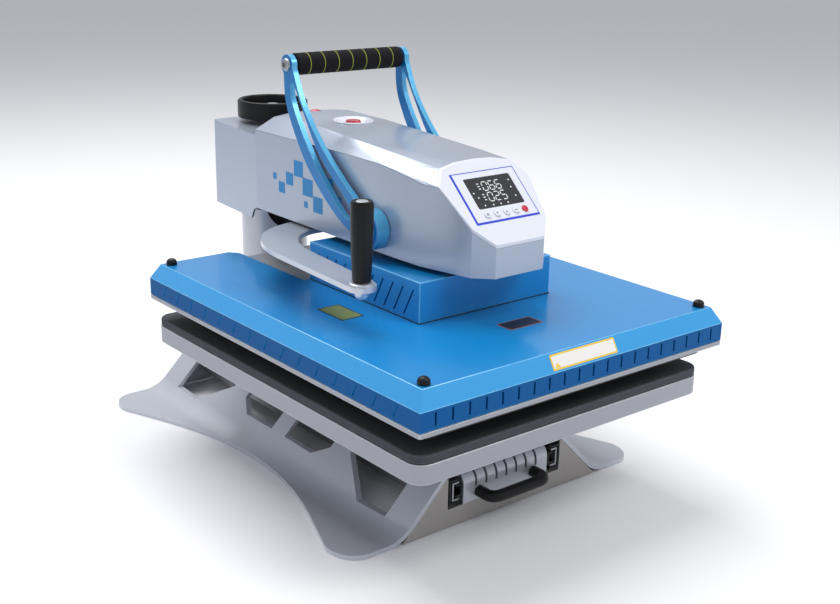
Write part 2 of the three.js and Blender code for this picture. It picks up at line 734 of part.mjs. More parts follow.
/** The step in the lower edge where the deep rear block meets the head. */
function stepCutter() {
  const r = 12;
  const outline = [
    [blockFrontY - 30, blockBottom - 5], [blockFrontY - 30, headBottom], [blockFrontY - 11, headBottom],
    ...arc(blockFrontY - 1, headBottom - r - 4, r + 4, 90, 30, 4),
    ...arc(blockFrontY + 29, blockBottom + 11, 16, 170, 230, 4),
    [blockFrontY + 22, blockBottom - 5],
  ];
  return prism('x', outline, -headHalfWidth - 5, headHalfWidth + 5);
}

function headShell() {
  const y0 = headFrontY;
  const outer = hull(bothSides(headCorners()));
  const inner = hull(bothSides(hollowed(headCorners(), headBottom, y0, blockFrontY)));
  const rear = cut(hull(bothSides(blockCorners())), stepCutter());
  const rearInner = hull(bothSides(hollowed(blockCorners(), blockBottom, blockFrontY - 14, blockRearY)));
  return cut(join(outer, rear), inner, rearInner);
}

/** Places a solid drawn on the control panel: x across, y up the slope from the lip, z outward. */
function onPanel(solid) {
  const [run, rise] = upSlope;
  const matrix = [1, 0, 0, 0, 0, run, rise, 0, 0, -rise, run, 0,
    0, headFrontY, headLip, 1];
  return solid.transform(matrix);
}

/** Everything above the line where the head's flat sides end. */
function aboveSides(raise) {
  const outline = [
    [headFrontY - 30, 352.3 + raise], [-100, 352.3 + raise], [-78, 352.6 + raise],
    [-16, sideTop - 1.2 + raise], [45, sideTop - 0.2 + raise], [blockFrontY + 4, sideTop - 1.2 + raise],
    [blockFrontY + 4, 420], [headFrontY - 30, 420],
  ];
  return prism('x', outline, -headHalfWidth - 5, headHalfWidth + 5);
}

const bezelThickness = 2.4;
const panelSlab = (deep) => onPanel(block(-90, 90, -12, 130, -deep, 8));

function headHousing(shell) {
  const inlet = block(-inletHalfWidth - gap, inletHalfWidth + gap, blockRearY - 12, blockRearY + 5,
    inletLow - gap, inletLow + inletHeight + gap);
  const axle = bar('x', [leverY, leverZ], axleRadius + 2, -armInner, armInner, 32);
  const screw = bar('z', [0, columnY], screwRadius + 2, blockTop - 30, blockTop + 10, 32);
  const behindPanel = onPanel(block(-42, 42, 18, 94, -14, 8));
  return cut(shell, aboveSides(-gap), panelSlab(bezelThickness + gap), behindPanel, inlet, axle, screw);
}

function topCover(shell) {
  const dish = bar('z', [0, dishY], dishRadius + gap, 340, 400, 40);
  const lamp = bar('z', [0, lampY], lampRadius + gap, 340, 400, 24);
  return cut(shell.intersect(aboveSides(0)), panelSlab(bezelThickness + gap), dish, lamp);
}

function controlBezel(shell) {
  const face = shell.intersect(panelSlab(bezelThickness));
  const window = prism('z', roundedRectangle(displayX - displayHalfWidth - gap,
    displayX + displayHalfWidth + gap, displayLow - gap, displayLow + displayHeight + gap, 2, 3), -8, 8);
  const holes = keyPlaces.map(([x]) => bar('z', [x, keyLine], keyRadius + gap, -8, 8, 20));
  return cut(face, ...[window, ...holes].map((tool) => onPanel(tool)));
}

function displayWindow() {
  const outline = roundedRectangle(displayX - displayHalfWidth, displayX + displayHalfWidth,
    displayLow, displayLow + displayHeight, 1.7, 3);
  return onPanel(prism('z', outline, -bezelThickness, -0.5));
}

function panelKey(x) {
  const cap = [[0, -bezelThickness + 0.4], [keyRadius, -bezelThickness + 0.4], [keyRadius, 0.4],
    [keyRadius - 0.6, keyStand], [0, keyStand]];
  return onPanel(turned('z', cap, [x, keyLine, 0], 20));
}

/** Steel frame inside the head: two side plates, a guide plate, and the plates over the column. */
function headFrame() {
  const outer = frameHalfWidth;
  const inner = outer - 4;
  const seat = shaftTop + 0.4;
  const seatFront = columnY - columnRadius + 1;
  const side = [
    [-66, 272], [96, 272], [100, swingPlateTop + gap], [seatFront - 22, swingPlateTop + gap],
    [seatFront, seat], [frameRear, seat], [frameRear, 330], [-66, 318],
  ];
  const plates = [prism('x', side, -outer, -inner), prism('x', side, inner, outer)];
  const guide = block(-inner - 1, inner + 1, -66, 42, 272, 282);
  const seatPlate = block(-inner - 1, inner + 1, seatFront, frameRear, seat, seat + 6);
  const rearPlate = block(-inner - 1, inner + 1, frameRear - 4, frameRear, seat, 330);
  const topPlate = block(-inner - 1, inner + 1, seatFront, frameRear, 318, 326);
  const slot = block(-16, 16, leverY - 24, leverY + 24, 260, 290);
  const bores = guideRodYs.map((y) => bar('z', [0, y], guideRodRadius + runningGap, 260, 290, 24));
  const axle = bar('x', [leverY, leverZ], axleRadius + runningGap, -armInner, armInner, 32);
  const screw = bar('z', [0, columnY], screwRadius + runningGap, seat - 5, 340, 32);
  return cut(join(...plates, guide, seatPlate, rearPlate, topPlate), slot, ...bores, axle, screw);
}

function pivotShaft() {
  const r = columnInner - runningGap;
  const low = deckTop + 14;
  const shoulder = columnTop + 0.4;
  return turned('z', [[0, low], [r, low], [r, shoulder], [columnRadius - 1, shoulder],
    [columnRadius - 1, shaftTop], [0, shaftTop]], [0, columnY, 0], 56);
}

/** Hook-shaped plate that carries the swing grip out to the left of the head. */
function swingPlate() {
  const path = new THREE.Shape();
  const endRadius = 15;
  path.moveTo(20, 158);
  path.lineTo(-66, 157);
  path.bezierCurveTo(-118, 152, -153, 115, -157, 52);
  path.lineTo(gripX - endRadius, gripY);
  path.absarc(gripX, gripY, endRadius, Math.PI, 2 * Math.PI, false);
  path.lineTo(-122.5, 38);
  path.bezierCurveTo(-119, 75, -102, 108, -68, 114);
  path.lineTo(20, 116);
  const outline = curvePoints(path, 12);
  const plate = prism('z', outline, swingPlateTop - swingPlateThickness, swingPlateTop);
  const boss = turned('z', [[0, swingPlateTop - 1], [12.8, swingPlateTop - 1], [12.8, swingPlateTop + 2],
    [11.6, gripFoot], [0, gripFoot]], [gripX, gripY, 0], 32);
  return cut(join(plate, boss), bar('z', [gripX, gripY], 4.3, 200, 300, 20));
}

function swingBolt() {
  const under = swingPlateTop - swingPlateThickness - gap;
  const top = gripFoot + gap + gripLength;
  return turned('z', [
    [0, under - 10], [3.5, under - 9.4], [6.2, under - 7.5], [7.6, under - 5], [7.6, under],
    [4, under], [4, top - 5.5], [6.8, top - 5.5], [6.8, top - 1], [5.8, top], [0, top],
  ], [gripX, gripY, 0], 28);
}

function swingGrip() {
  const low = gripFoot + gap;
  const top = low + gripLength;
  return turned('z', [
    [4.5, low], [9, low], [9.6, low + 2], [10.6, low + 24], [11.6, top - 22], [11.6, top - 2.5],
    [10.2, top], [7.4, top], [7.4, top - 6], [4.5, top - 6],
  ], [gripX, gripY, 0], 36);
}

/** White dished surround of the top button. */
function buttonDish() {
  const rim = 383;
  return turned('z', [
    [buttonRadius + gap, rim - 9], [buttonRadius + gap, rim - 6.4], [15, rim - 4.4], [20.5, rim - 1],
    [dishRadius - 1, rim], [dishRadius, rim - 0.8], [dishRadius, rim - 5], [20, rim - 5.4],
    [14, rim - 8.6],
  ], [0, dishY, 0], 40);
}

function topButton() {
  return turned('z', [[0, 370], [buttonRadius, 370], [buttonRadius, 381.2], [buttonRadius - 1, 382.6],
    [0, 383]], [0, dishY, 0], 32);
}

function statusLamp() {
  return turned('z', [[0, 372], [lampRadius, 372], [lampRadius, 382], [lampRadius - 1.4, 383.6],
    [lampRadius - 3.6, 384.4], [0, 384.6]], [0, lampY, 0], 24);
}

/** Mains inlet with a three-pin cavity and a pocket for the rocker beside it. */
function powerInlet() {
  const [low, high] = [inletLow, inletLow + inletHeight];
  const half = inletHalfWidth;
  const face = blockRearY + gap;
  const body = block(-half, half, face - 24, face + 0.1, low, high);
  const flange = prism('y', roundedRectangle(-half - 4, half + 4, low - 4, high + 4, 3, 3), face, face + 2);
  const cavity = prism('y', [[-29, low + 4], [-5, low + 4], [-5, high - 9], [-10, high - 4],
    [-24, high - 4], [-29, high - 9]], face - 17, face + 3);
  const pocket = block(rockerX - 7.5, rockerX + 7.5, face - 10, face + 3, low + 3.5, high - 3.5);
  const pins = [[-23, low + 11], [-11, low + 11], [-17, low + 17]].map(([x, z]) => (
    block(x - 1.2, x + 1.2, face - 18, face - 3, z - 2.2, z + 2.2)));
  return join(cut(join(body, flange), cavity, pocket), ...pins);
}

/** Rocker of the mains switch: a shallow V that tips about its middle. */
function powerRocker() {
  const pivotY = blockRearY + gap + 2 - rockerPivotDepth;
  const pivotZ = inletLow + inletHeight / 2;
  const outline = [[5, -9.6], [3.4, 0], [0.4, 9.9], [-4, 9.8], [-6.5, 0], [-2.5, -10]];
  return prism('x', outline.map(([y, z]) => [pivotY + y, pivotZ + z]), rockerX - 7, rockerX + 7);
}

const shell = headShell();
add('pivot_shaft', pivotShaft(), blackCoat);
add('head_frame', headFrame(), zincSteel);
add('head_housing', headHousing(shell), housingPaint);
add('head_top_cover', topCover(shell), housingPaint);
add('control_bezel', controlBezel(shell), whitePlastic);
add('display_window', displayWindow(), displayGlass);
keyPlaces.forEach(([x, label]) => {
  add(`key_${label}`, panelKey(x), label === 'start' ? redPlastic : whitePlastic);
});
add('button_dish', buttonDish(), whitePlastic);
add('release_button', topButton(), redPlastic);
add('status_lamp', statusLamp(), redPlastic);
add('power_inlet', powerInlet(), blackPlastic);
add('power_rocker', powerRocker(), redPlastic);
add('swing_plate', swingPlate(), brightSteel);
add('swing_bolt', swingBolt(), brightSteel);
add('swing_grip', swingGrip(), blackPlastic);

// ---------------------------------------------------------------- lever and toggle
/** A point on the lever: share of the way from hub to hand bar, and distance out towards the front. */
function onLever([share, out]) {
  const angle = leverRestAngle * rad;
  const along = share * leverRadius;
  return [
    leverY + along * Math.cos(angle) - out * Math.sin(angle),
    leverZ + along * Math.sin(angle) + out * Math.cos(angle),
  ];
}

function smoothed(points, steps) {
  return curvePoints(new THREE.SplineCurve(points.map((p) => new THREE.Vector2(...onLever(p)))), steps);
}

/** The two ends of a stretch across the press on one side, lower first. */
function spanOn(side, inner, outer) {
  return side > 0 ? [inner, outer] : [-outer, -inner];
}

/** Side arm of the lever: two curved prongs from the hub that meet in a round end at the bar. */
function leverArm(side) {
  const rearEdge = smoothed([[0.99, -11.5], [0.84, -35], [0.524, -48.8], [0.193, -41], [-0.04, -18.5]], 20);
  const frontEdge = smoothed([[0.087, 9.2], [0.2, -1.4], [0.51, -10.6], [0.768, -7.8], [0.955, 6]], 20);
  const slot = smoothed([[0.935, -4.6], [0.827, -22.8], [0.534, -33.9], [0.193, -31.1], [0.129, -21.5],
    [0.207, -13.8], [0.505, -20.5], [0.782, -9.9], [0.87, -5.6], [0.935, -4.6]], 44).slice(1);
  const [startY, startZ] = onLever([0.99, -11.5]);
  const [endY, endZ] = onLever([0.955, 6]);
  const from = Math.atan2(startZ - barZ, startY - barY) / rad;
  const to = Math.atan2(endZ - barZ, endY - barY) / rad;
  const tip = arc(barY, barZ, 11.5, to < 0 ? to + 360 : to, from, 12);
  const outline = [...tip.slice(1, -1), ...rearEdge, ...frontEdge];
  const [near, far] = spanOn(side, armInner, armInner + armThickness);
  const plate = cut(prism('x', outline, near, far), prism('x', slot, near - 1, far + 1));
  const hubEnds = spanOn(side, headHalfWidth + runningGap, hubFace);
  const hub = bar('x', [leverY, leverZ], hubRadius, ...hubEnds, 44);
  const boreEnds = spanOn(side, headHalfWidth - 1, armInner + armThickness);
  const bore = bar('x', [leverY, leverZ], axleRadius + gap, ...boreEnds, 32);
  const boltHole = bar('x', [barY, barZ], boltRadius + gap, near - 1, far + 1, 20);
  return cut(join(plate, hub), bore, boltHole);
}

function leverAxle() {
  const half = armInner + armThickness - gap;
  const cheeks = [-10, 10].map((x) => bar('x', [leverY, leverZ], 17, x - 2.5, x + 2.5, 36));
  const ends = [-1, 1].map((side) => (
    bar('x', [leverY, leverZ], axleRadius, ...spanOn(side, 9, half), 32)));
  const pin = bar('x', [crankPinY, crankPinZ], 4, -9, 9, 20);
  return join(...cheeks, ...ends, pin);
}

/** Link between the crank pin and the ram; its lower eye is a slot that gives the ram its play. */
function toggleLink() {
  const half = 6.5;
  const foot = [crankPinY, ramPinZ];
  const play = Math.abs(ramPinY - crankPinY);
  const reach = play + 0.8;
  const upper = bar('x', [crankPinY, crankPinZ], 7.6, -half, half, 28);
  const web = block(-half, half, crankPinY - 5, crankPinY + 5, ramPinZ, crankPinZ);
  const eye = prism('x', [
    ...arc(foot[0] + reach, foot[1], 8.2, 270, 450, 8), ...arc(foot[0] - reach, foot[1], 8.2, 90, 270, 8),
  ], -half, half);
  const slot = prism('x', [
    ...arc(foot[0] + reach, foot[1], 5, 270, 450, 8), ...arc(foot[0] - reach, foot[1], 5, 90, 270, 8),
  ], -half - 1, half + 1);
  const bore = bar('x', [crankPinY, crankPinZ], 4 + gap, -half - 1, half + 1, 20);
  return cut(join(upper, web, eye), slot, bore);
}

function handBar() {
  const half = armInner - gap;
  const wall = barRadius - 2.5;
  const tube = [[wall, -half], [barRadius, -half], [barRadius, half], [wall, half]];
  return turned('x', tube, [0, barY, barZ], 28);
}

function foamGrip() {
  const half = armInner - 2.5;
  return turned('x', [
    [barRadius + gap, -half], [foamRadius - 1.2, -half], [foamRadius, -half + 1.4],
    [foamRadius, half - 1.4], [foamRadius - 1.2, half], [barRadius + gap, half],
  ], [0, barY, barZ], 36);
}

/** Button-headed bolt through an arm into the end of the hand bar. */
function handBolt(side) {
  const face = armInner + armThickness + gap;
  const profile = [[0, 40], [boltRadius, 40], [boltRadius, face], [7.4, face], [7, face + 2],
    [5.4, face + 3.6], [3, face + 3.6], [3, face + 1.6], [0, face + 1.6]];
  return turned('x', profile.map(([r, h]) => [r, side * h]), [0, barY, barZ], 24);
}

for (const [label, side] of [['left', -1], ['right', 1]]) {
  add(`lever_arm_${label}`, leverArm(side), armBlue);
  add(`lever_bolt_${label}`, handBolt(side), brightSteel);
}
add('lever_axle', leverAxle(), zincSteel);
add('toggle_link', toggleLink(), zincSteel);
add('lever_bar', handBar(), zincSteel);
add('foam_grip', foamGrip(), foamBlack);

// ---------------------------------------------------------------- pressure adjustment
function adjustingScrew() {
  const low = shaftTop + 0.4 + 6 + 10;
  return bar('z', [0, columnY], screwRadius, low, wheelTop - 6, 28);
}

function handwheel() {
  const bore = screwRadius + gap;
  const low = blockTop + 4;
  return turned('z', [
    [bore, low], [13, low], [13.5, wheelTop - 15], [wheelRadius - 7, wheelTop - 15],
    [wheelRadius - 6, wheelTop - wheelRim], [wheelRadius - 1, wheelTop - wheelRim],
    [wheelRadius, wheelTop - wheelRim + 1.5],
    [wheelRadius, wheelTop - 2], [wheelRadius - 1.5, wheelTop], [wheelRadius - 5, wheelTop],
    [wheelRadius - 6.5, wheelTop - 2], [wheelRadius - 7, wheelTop - 11], [13, wheelTop - 11],
    [12, wheelTop - 8], [bore, wheelTop - 8],
  ], [0, columnY, 0], 48);
}

add('adjusting_screw', adjustingScrew(), brightSteel);
add('handwheel', handwheel(), blackPlastic);

export default press;
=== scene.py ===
"""Looks of the swing-away heat press: finishes, printed panel, labels, fixings, floor, light and camera."""

from __future__ import annotations

import json
import logging
import math
from dataclasses import dataclass, field
from enum import Enum
from typing import Iterable, Sequence

import bmesh
import bpy
from mathutils import Matrix, Vector


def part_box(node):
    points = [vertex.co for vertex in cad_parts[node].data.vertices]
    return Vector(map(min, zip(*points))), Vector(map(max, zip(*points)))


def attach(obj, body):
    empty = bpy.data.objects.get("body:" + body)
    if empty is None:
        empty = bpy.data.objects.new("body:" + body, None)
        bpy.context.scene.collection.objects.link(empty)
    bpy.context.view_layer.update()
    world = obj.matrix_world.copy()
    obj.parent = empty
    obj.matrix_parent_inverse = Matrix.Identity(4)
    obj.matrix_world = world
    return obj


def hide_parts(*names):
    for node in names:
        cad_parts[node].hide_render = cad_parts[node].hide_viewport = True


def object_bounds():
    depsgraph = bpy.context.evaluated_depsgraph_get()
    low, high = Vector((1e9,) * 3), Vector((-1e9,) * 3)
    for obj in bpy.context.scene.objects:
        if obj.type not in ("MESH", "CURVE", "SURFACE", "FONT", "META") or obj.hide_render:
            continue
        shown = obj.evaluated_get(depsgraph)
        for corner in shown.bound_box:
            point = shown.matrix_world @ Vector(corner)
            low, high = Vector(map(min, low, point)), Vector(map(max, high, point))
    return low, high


LOG = logging.getLogger("heat_press")
MM = 0.001
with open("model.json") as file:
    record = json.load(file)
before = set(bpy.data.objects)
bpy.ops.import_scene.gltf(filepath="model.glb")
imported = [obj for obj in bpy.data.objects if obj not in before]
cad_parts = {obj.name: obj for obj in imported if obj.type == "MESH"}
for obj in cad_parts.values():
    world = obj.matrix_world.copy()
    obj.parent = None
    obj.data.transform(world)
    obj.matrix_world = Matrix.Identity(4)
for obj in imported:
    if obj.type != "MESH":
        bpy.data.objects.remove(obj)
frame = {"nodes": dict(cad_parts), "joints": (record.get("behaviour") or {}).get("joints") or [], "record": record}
CAD_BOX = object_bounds()


# ------------------------------------------------------------------ colours and shader groups
def srgb(red: float, green: float, blue: float) -> tuple[float, float, float, float]:
    """Turn a screen colour of 0 to 255 into a linear shader colour.

    Args:
        red: red share, 0 to 255.
        green: green share, 0 to 255.
        blue: blue share, 0 to 255.

    Returns:
        The linear colour with full alpha.
    """
    def linear(value: float) -> float:
        """Undo the screen curve of one channel."""
        share = value / 255
        return share / 12.92 if share <= 0.04045 else ((share + 0.055) / 1.055) ** 2.4

    return linear(red), linear(green), linear(blue), 1.0


class Texture(Enum):
    """How the fine relief of a finish is made."""

    PEEL = "peel"
    BRUSHED = "brushed"
    CELLS = "cells"
    MOULDED = "moulded"


class ShaderGroups:
    """The shader node groups that the finishes share, each built once."""

    def __init__(self) -> None:
        """Build all the groups."""
        self.grain = self._grain()
        self.brush = self._brush()
        self.cells = self._cells()
        self.wear_and_highlight = self._wear_and_highlight()
        self.dust = self._dust()

    @staticmethod
    def _new(name: str, inputs: Sequence[tuple[str, str, float]], outputs: Sequence[str]) -> tuple:
        """Start a group.

        Args:
            name: the group's name.
            inputs: each input's name, socket type and default.
            outputs: names of the float outputs.

        Returns:
            The tree, its input node and its output node.
        """
        tree = bpy.data.node_groups.new(name, "ShaderNodeTree")
        for label, kind, value in inputs:
            socket = tree.interface.new_socket(label, in_out="INPUT", socket_type=kind)
            if kind == "NodeSocketFloat":
                socket.default_value = value
        for label in outputs:
            tree.interface.new_socket(label, in_out="OUTPUT", socket_type="NodeSocketFloat")
        return tree, tree.nodes.new("NodeGroupInput"), tree.nodes.new("NodeGroupOutput")

    @staticmethod
    def _maths(tree: bpy.types.NodeTree, operation: str, first: object, second: object) -> bpy.types.NodeSocket:
        """Add a Math node whose two inputs are sockets or numbers.

        Args:
            tree: the tree that gets the node.
            operation: the Math node's operation.
            first: socket or number.
            second: socket or number.

        Returns:
            The node's output socket.
        """
        node = tree.nodes.new("ShaderNodeMath")
        node.operation = operation
        for socket, value in zip(node.inputs, (first, second)):
            if isinstance(value, bpy.types.NodeSocket):
                tree.links.new(value, socket)
            else:
                socket.default_value = value
        return node.outputs[0]

    @staticmethod
    def _noise(tree: bpy.types.NodeTree, vector: bpy.types.NodeSocket, scale: object,
               detail: float, roughness: float = 0.5) -> bpy.types.NodeSocket:
        """Add a noise texture.

        Args:
            tree: the tree that gets the node.
            vector: where the noise is read.
            scale: socket or number, in features per metre.
            detail: octaves.
            roughness: weight of the finer octaves.

        Returns:
            The noise value's socket.
        """
        node = tree.nodes.new("ShaderNodeTexNoise")
        tree.links.new(vector, node.inputs["Vector"])
        if isinstance(scale, bpy.types.NodeSocket):
            tree.links.new(scale, node.inputs["Scale"])
        else:
            node.inputs["Scale"].default_value = scale
        node.inputs["Detail"].default_value = detail
        node.inputs["Roughness"].default_value = roughness
        return node.outputs["Fac"]

    def _grain(self) -> bpy.types.NodeTree:
        """Sprayed or moulded skin: broad mottling with fine peel over it."""
        tree, source, sink = self._new("skin_grain", (
            ("Vector", "NodeSocketVector", 0.0), ("Scale", "NodeSocketFloat", 600.0)), ("Tone", "Height"))
        where = source.outputs["Vector"]
        broad = self._noise(tree, where, 7.0, 3.0)
        fine = self._noise(tree, where, source.outputs["Scale"], 2.0, 0.6)
        flake = self._noise(tree, where, self._maths(tree, "MULTIPLY", source.outputs["Scale"], 4.0), 0.0)
        tone = self._maths(tree, "ADD", self._maths(tree, "MULTIPLY", broad, 0.6),
                           self._maths(tree, "MULTIPLY", flake, 0.4))
        height = self._maths(tree, "ADD", fine, self._maths(tree, "MULTIPLY", flake, 0.3))
        tree.links.new(tone, sink.inputs["Tone"])
        tree.links.new(height, sink.inputs["Height"])
        return tree

    def _brush(self) -> bpy.types.NodeTree:
        """Long fine lines along one axis; the vector comes in already squeezed across it."""
        tree, source, sink = self._new("brushed_lines", (
            ("Vector", "NodeSocketVector", 0.0), ("Scale", "NodeSocketFloat", 500.0)), ("Tone", "Height"))
        where = source.outputs["Vector"]
        lines = self._noise(tree, where, source.outputs["Scale"], 3.0, 0.7)
        broad = self._noise(tree, where, 12.0, 2.0)
        tone = self._maths(tree, "ADD", self._maths(tree, "MULTIPLY", broad, 0.5),
                           self._maths(tree, "MULTIPLY", lines, 0.5))
        tree.links.new(tone, sink.inputs["Tone"])
        tree.links.new(lines, sink.inputs["Height"])
        return tree

    def _cells(self) -> bpy.types.NodeTree:
        """Open cells of foam or the pitted face of cast rubber."""
        tree, source, sink = self._new("foam_cells", (
            ("Vector", "NodeSocketVector", 0.0), ("Scale", "NodeSocketFloat", 700.0)), ("Tone", "Height"))
        cells = tree.nodes.new("ShaderNodeTexVoronoi")
        tree.links.new(source.outputs["Vector"], cells.inputs["Vector"])
        tree.links.new(source.outputs["Scale"], cells.inputs["Scale"])
        broad = self._noise(tree, source.outputs["Vector"], 25.0, 3.0)
        depth = self._maths(tree, "MINIMUM", cells.outputs["Distance"], 0.6)
        tone = self._maths(tree, "ADD", self._maths(tree, "MULTIPLY", broad, 0.5),
                           self._maths(tree, "MULTIPLY", depth, 0.8))
        tree.links.new(tone, sink.inputs["Tone"])
        tree.links.new(depth, sink.inputs["Height"])
        return tree

    def _wear_and_highlight(self) -> bpy.types.NodeTree:
        """Broken mask along rounded edges, from the face attribute that the refined pieces carry; it lightens those
        edges, partly as rubbed wear and partly as painted highlight.
        """
        tree, source, sink = self._new("edge_wear_and_highlight", (
            ("Vector", "NodeSocketVector", 0.0), ("Amount", "NodeSocketFloat", 0.5)), ("Mask",))
        edge = tree.nodes.new("ShaderNodeAttribute")
        edge.attribute_name = "edge"
        patches = self._noise(tree, source.outputs["Vector"], 60.0, 4.0, 0.65)
        broken = self._maths(tree, "ADD", patches, self._maths(tree, "SUBTRACT", source.outputs["Amount"], 0.5))
        mask = self._maths(tree, "MULTIPLY", edge.outputs["Fac"], broken)
        clamp = tree.nodes.new("ShaderNodeClamp")
        tree.links.new(mask, clamp.inputs["Value"])
        tree.links.new(clamp.outputs[0], sink.inputs["Mask"])
        return tree

    def _dust(self) -> bpy.types.NodeTree:
        """Thin film that settles on faces that look up."""
        tree, source, sink = self._new("dust_film", (
            ("Vector", "NodeSocketVector", 0.0), ("Amount", "NodeSocketFloat", 0.1)), ("Mask",))
        shape = tree.nodes.new("ShaderNodeNewGeometry")
        split = tree.nodes.new("ShaderNodeSeparateXYZ")
        tree.links.new(shape.outputs["Normal"], split.inputs[0])
        up = self._maths(tree, "MAXIMUM", split.outputs["Z"], 0.0)
        drift = self._noise(tree, source.outputs["Vector"], 9.0, 5.0, 0.6)
        mask = self._maths(tree, "MULTIPLY", self._maths(tree, "MULTIPLY", up, drift), source.outputs["Amount"])
        tree.links.new(mask, sink.inputs["Mask"])
        return tree


@dataclass(frozen=True)
class Finish:
    """One finish of the press, from which its material is built."""

    name: str
    colour: tuple[float, float, float, float]
    roughness: float
    metallic: float = 0.0
    coat: float = 0.0
    spread: float = 0.12
    texture: Texture = Texture.PEEL
    scale: float = 600.0
    relief: float = 0.05
    stretch: tuple[float, float, float] = (1.0, 1.0, 1.0)
    # Lighter colour and its amount along rounded edges: partly rubbed wear, partly painted highlight; on the blue
    # finishes it is painted highlight.
    wear_and_highlight_colour: tuple[float, float, float, float] = (0.7, 0.75, 0.8, 1.0)
    wear_and_highlight: float = 0.0
    dust: float = 0.05
    specular: float = 0.5

    def shade(self, factor: float) -> tuple[float, float, float, float]:
        """Give the finish's colour made lighter or darker by a factor."""
        red, green, blue, alpha = self.colour
        return min(red * factor, 1.0), min(green * factor, 1.0), min(blue * factor, 1.0), alpha

    def material(self, groups: ShaderGroups) -> bpy.types.Material:
        """Build the material.

        Args:
            groups: the shared shader groups.

        Returns:
            The material, with colour, roughness and bump that vary over the surface.
        """
        made = bpy.data.materials.new(self.name)
        made.use_nodes = True
        tree = made.node_tree
        shader = tree.nodes["Principled BSDF"]
        shader.inputs["Metallic"].default_value = self.metallic
        shader.inputs["Coat Weight"].default_value = self.coat
        shader.inputs["Coat Roughness"].default_value = 0.12
        shader.inputs["Specular IOR Level"].default_value = self.specular
        place = tree.nodes.new("ShaderNodeTexCoord")
        squeeze = tree.nodes.new("ShaderNodeMapping")
        squeeze.inputs["Scale"].default_value = self.stretch
        tree.links.new(place.outputs["Object"], squeeze.inputs["Vector"])
        skin = self._group(tree, self._skin_tree(groups), squeeze.outputs[0], "Scale", self.scale)
        tone = self._mix(tree, skin.outputs["Tone"], self.shade(1 - self.spread), self.shade(1 + self.spread))
        # Rounded edges are mixed toward the lighter edge colour, partly rubbed wear and partly painted highlight.
        if self.wear_and_highlight > 0:
            worn_and_lit = self._group(tree, groups.wear_and_highlight, place.outputs["Object"], "Amount", self.wear_and_highlight)
            tone = self._mix(tree, worn_and_lit.outputs["Mask"], tone, self.wear_and_highlight_colour)
        film = self._group(tree, groups.dust, place.outputs["Object"], "Amount", self.dust)
        tone = self._mix(tree, film.outputs["Mask"], tone, srgb(196, 194, 188))
        tree.links.new(tone, shader.inputs["Base Color"])
        span = tree.nodes.new("ShaderNodeMapRange")
        span.inputs["To Min"].default_value = self.roughness * 0.85
        span.inputs["To Max"].default_value = min(self.roughness * 1.2, 1.0)
        tree.links.new(skin.outputs["Tone"], span.inputs["Value"])
        tree.links.new(span.outputs[0], shader.inputs["Roughness"])
        bump = tree.nodes.new("ShaderNodeBump")
        bump.inputs["Strength"].default_value = self.relief
        bump.inputs["Distance"].default_value = MM
        tree.links.new(skin.outputs["Height"], bump.inputs["Height"])
        tree.links.new(bump.outputs[0], shader.inputs["Normal"])
        return made

    def _skin_tree(self, groups: ShaderGroups) -> bpy.types.NodeTree:
        """Choose the shared group that makes this finish's relief."""
        if self.texture is Texture.BRUSHED:
            return groups.brush
        if self.texture is Texture.CELLS:
            return groups.cells
        return groups.grain

    @staticmethod
    def _group(tree: bpy.types.NodeTree, group: bpy.types.NodeTree, vector: bpy.types.NodeSocket,
               label: str, value: float) -> bpy.types.Node:
        """Place a shared group in a material.

        Args:
            tree: the material's tree.
            group: the shared group.
            vector: where it reads the surface.
            label: name of its one numeric input.
            value: value of that input.

        Returns:
            The group's node.
        """
        node = tree.nodes.new("ShaderNodeGroup")
        node.node_tree = group
        node.inputs[label].default_value = value
        tree.links.new(vector, node.inputs["Vector"])
        return node

    @staticmethod
    def _mix(tree: bpy.types.NodeTree, share: bpy.types.NodeSocket, low: object, high: object) -> bpy.types.NodeSocket:
        """Mix two colours, each a socket or a constant.

        Args:
            tree: the material's tree.
            share: socket of the mixing share.
            low: colour at share 0.
            high: colour at share 1.

        Returns:
            The mixed colour's socket.
        """
        node = tree.nodes.new("ShaderNodeMix")
        node.data_type = "RGBA"
        tree.links.new(share, node.inputs["Factor"])
        colour_a = [s for s in node.inputs if s.name == "A" and s.type == "RGBA"][0]
        colour_b = [s for s in node.inputs if s.name == "B" and s.type == "RGBA"][0]
        for socket, value in ((colour_a, low), (colour_b, high)):
            if isinstance(value, bpy.types.NodeSocket):
                tree.links.new(value, socket)
            else:
                socket.default_value = value
        return [s for s in node.outputs if s.type == "RGBA"][0]


